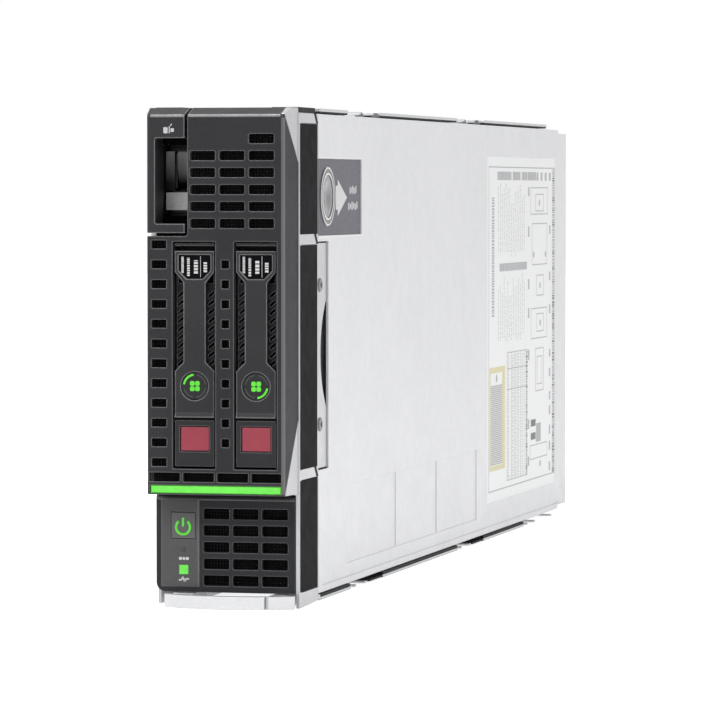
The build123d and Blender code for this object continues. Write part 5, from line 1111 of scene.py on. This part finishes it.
def board_parts():
    """Chokes, capacitors, chips and small parts in the free places of the system board."""
    face = side(BOARD_X)
    chokes = [round_bar(d - CHOKE_SIZE / 2, d + CHOKE_SIZE / 2, z, z + CHOKE_SIZE, CHOKE_ROUND, 3)
              for d in CHOKE_D for z in CHOKE_Z]
    prisms("board_chokes", face, chokes, LAID, CHOKE_H, FERRITE_AND_SHADE, "chassis", "connector_black")
    turned("board_capacitors", face, [(d, z) for d in CAN_D for z in CAN_Z], CAN_PROFILE, SOLDER, "chassis",
           "chip_metal", CAN_STEPS)
    prisms("board_chips", face, [bar(*box) for box in BOARD_CHIPS], LAID, 1.5, CHIP_BLACK, "chassis",
           "connector_black")
    rng = random.Random(PARTS_SEED)
    small = []
    for v0, v1 in SCATTER_Z:
        u, end = SCATTER_D
        while u < end:
            if abs(u - BOARD_SCREW_D[1]) > SCATTER_CLEAR:
                v = rng.uniform(v0, v1)
                small.append(bar(u, u + rng.choice(SMALL_LENGTHS), v, v + SMALL_W))
            u += rng.uniform(*SMALL_STEPS)
    length, height = EVEN_SIZE
    small += [bar(u, u + length, v, v + height) for u in EVEN_D for v in EVEN_Z]
    prisms("board_small_parts", face, small, LAID, 0.8, SOLDER, "chassis", "chip_metal")


def rear_contacts():
    """Rows of gold contacts on the blades of the rear connectors."""
    pins = []
    columns = [-(CONTACT_X + CONTACT_PITCH * i) for i in range(CONTACTS)]
    for centre, rows, pitch in REAR_BLADES:
        for row in range(rows):
            z = centre + (row - (rows - 1) / 2) * pitch
            pins += [bar(u - CONTACT_W, u, z - CONTACT_HALF, z + CONTACT_HALF) for u in columns]
    prisms("rear_contacts", rear(CONTACT_D), pins, LAID, 0.12, GOLD, "chassis", "catch_metal")


# ---- light and view ----

def area_light(name, place, target, size, power):
    """Square soft box aimed at a point."""
    data = bpy.data.lights.new(name, "AREA")
    data.size = size
    data.energy = power
    lamp = bpy.data.objects.new(name, data)
    lamp.location = place
    lamp.rotation_mode = "QUATERNION"
    lamp.rotation_quaternion = (Vector(target) - Vector(place)).to_track_quat("-Z", "Y")
    bpy.context.scene.collection.objects.link(lamp)


def backdrop_factor(tree):
    """1 for rays that should see the plain white backdrop."""
    rays = tree.nodes.new("ShaderNodeLightPath")
    seen = rays.outputs["Is Camera Ray"]
    for kind in ("Is Glossy Ray", "Is Transmission Ray"):
        either = tree.nodes.new("ShaderNodeMath")
        either.operation = "MAXIMUM"
        tree.links.new(seen, either.inputs[0])
        tree.links.new(rays.outputs[kind], either.inputs[1])
        seen = either.outputs[0]
    return seen


def mix_in(tree, plain, bright, output):
    """Joins a plain shader to an output, with a bright one for the rays that see the backdrop."""
    mix = tree.nodes.new("ShaderNodeMixShader")
    tree.links.new(backdrop_factor(tree), mix.inputs[0])
    tree.links.new(plain, mix.inputs[1])
    tree.links.new(bright, mix.inputs[2])
    tree.links.new(mix.outputs[0], output.inputs["Surface"])


def light_world():
    """Even world, white where the backdrop is seen."""
    world = bpy.data.worlds.new("studio")
    bpy.context.scene.world = world
    world.use_nodes = True
    tree = world.node_tree
    plain = tree.nodes["Background"]
    plain.inputs["Color"].default_value = WORLD_COLOR
    plain.inputs["Strength"].default_value = WORLD_LEVEL
    white = tree.nodes.new("ShaderNodeBackground")
    white.inputs["Color"].default_value = (1, 1, 1, 1)
    white.inputs["Strength"].default_value = 1.0
    mix_in(tree, plain.outputs[0], white.outputs[0], tree.nodes["World Output"])


def lay_floor():
    """Pale paper floor that keeps its shadow and glows for the rays that see the backdrop."""
    bm = bmesh.new()
    outline = bar(-FLOOR_HALF, FLOOR_HALF, -FLOOR_HALF, FLOOR_HALF)
    add_prism(bm, lambda u, v, h: Vector((u, v, h)), outline, -0.02, 0.0)
    mesh = bpy.data.meshes.new("floor")
    bm.to_mesh(mesh)
    bm.free()
    floor = bpy.data.objects.new("floor", mesh)
    bpy.context.scene.collection.objects.link(floor)
    look = Look("floor_paper", (0.80, 0.80, 0.80), 0.9)
    look.shade(look.noise(900, 2), 0.01)
    paper = look.done()
    tree = look.tree
    glow = tree.nodes.new("ShaderNodeEmission")
    glow.inputs["Color"].default_value = (1, 1, 1, 1)
    glow.inputs["Strength"].default_value = FLOOR_GLOW
    add = tree.nodes.new("ShaderNodeAddShader")
    tree.links.new(look.shader.outputs[0], add.inputs[0])
    tree.links.new(glow.outputs[0], add.inputs[1])
    mix_in(tree, look.shader.outputs[0], add.outputs[0], tree.nodes["Material Output"])
    mesh.materials.append(paper)


def camera():
    """Camera at the photo's viewing angle."""
    data = bpy.data.cameras.new("camera")
    data.lens = CAMERA_LENS
    data.sensor_width = SENSOR
    data.clip_start = 0.05
    data.clip_end = 50.0
    view = bpy.data.objects.new("camera", data)
    view.location = Vector(CAMERA_AT) * MM
    view.rotation_euler = [math.radians(a) for a in CAMERA_TURN]
    bpy.context.scene.collection.objects.link(view)
    bpy.context.scene.camera = view


dress_nodes()
for number, x in DRIVE_X.items():
    handle_label(number, x)
    status_light(number, x)
power_symbol()
control_icons()
tab_icon()
catch_field()
service_print()
grille_screen()
vent_screens()
polished_edges()
strip_edges()
connector_scoop()
screws()
hook_shade_faces()
pad_gap_shadows()
lip_shadow_strips()
memory_chips()
board_parts()
rear_contacts()
light_world()
lay_floor()
for name, lamp in LAMPS.items():
    area_light(name, *lamp)
camera()
bpy.context.scene.view_settings.view_transform = "Standard"
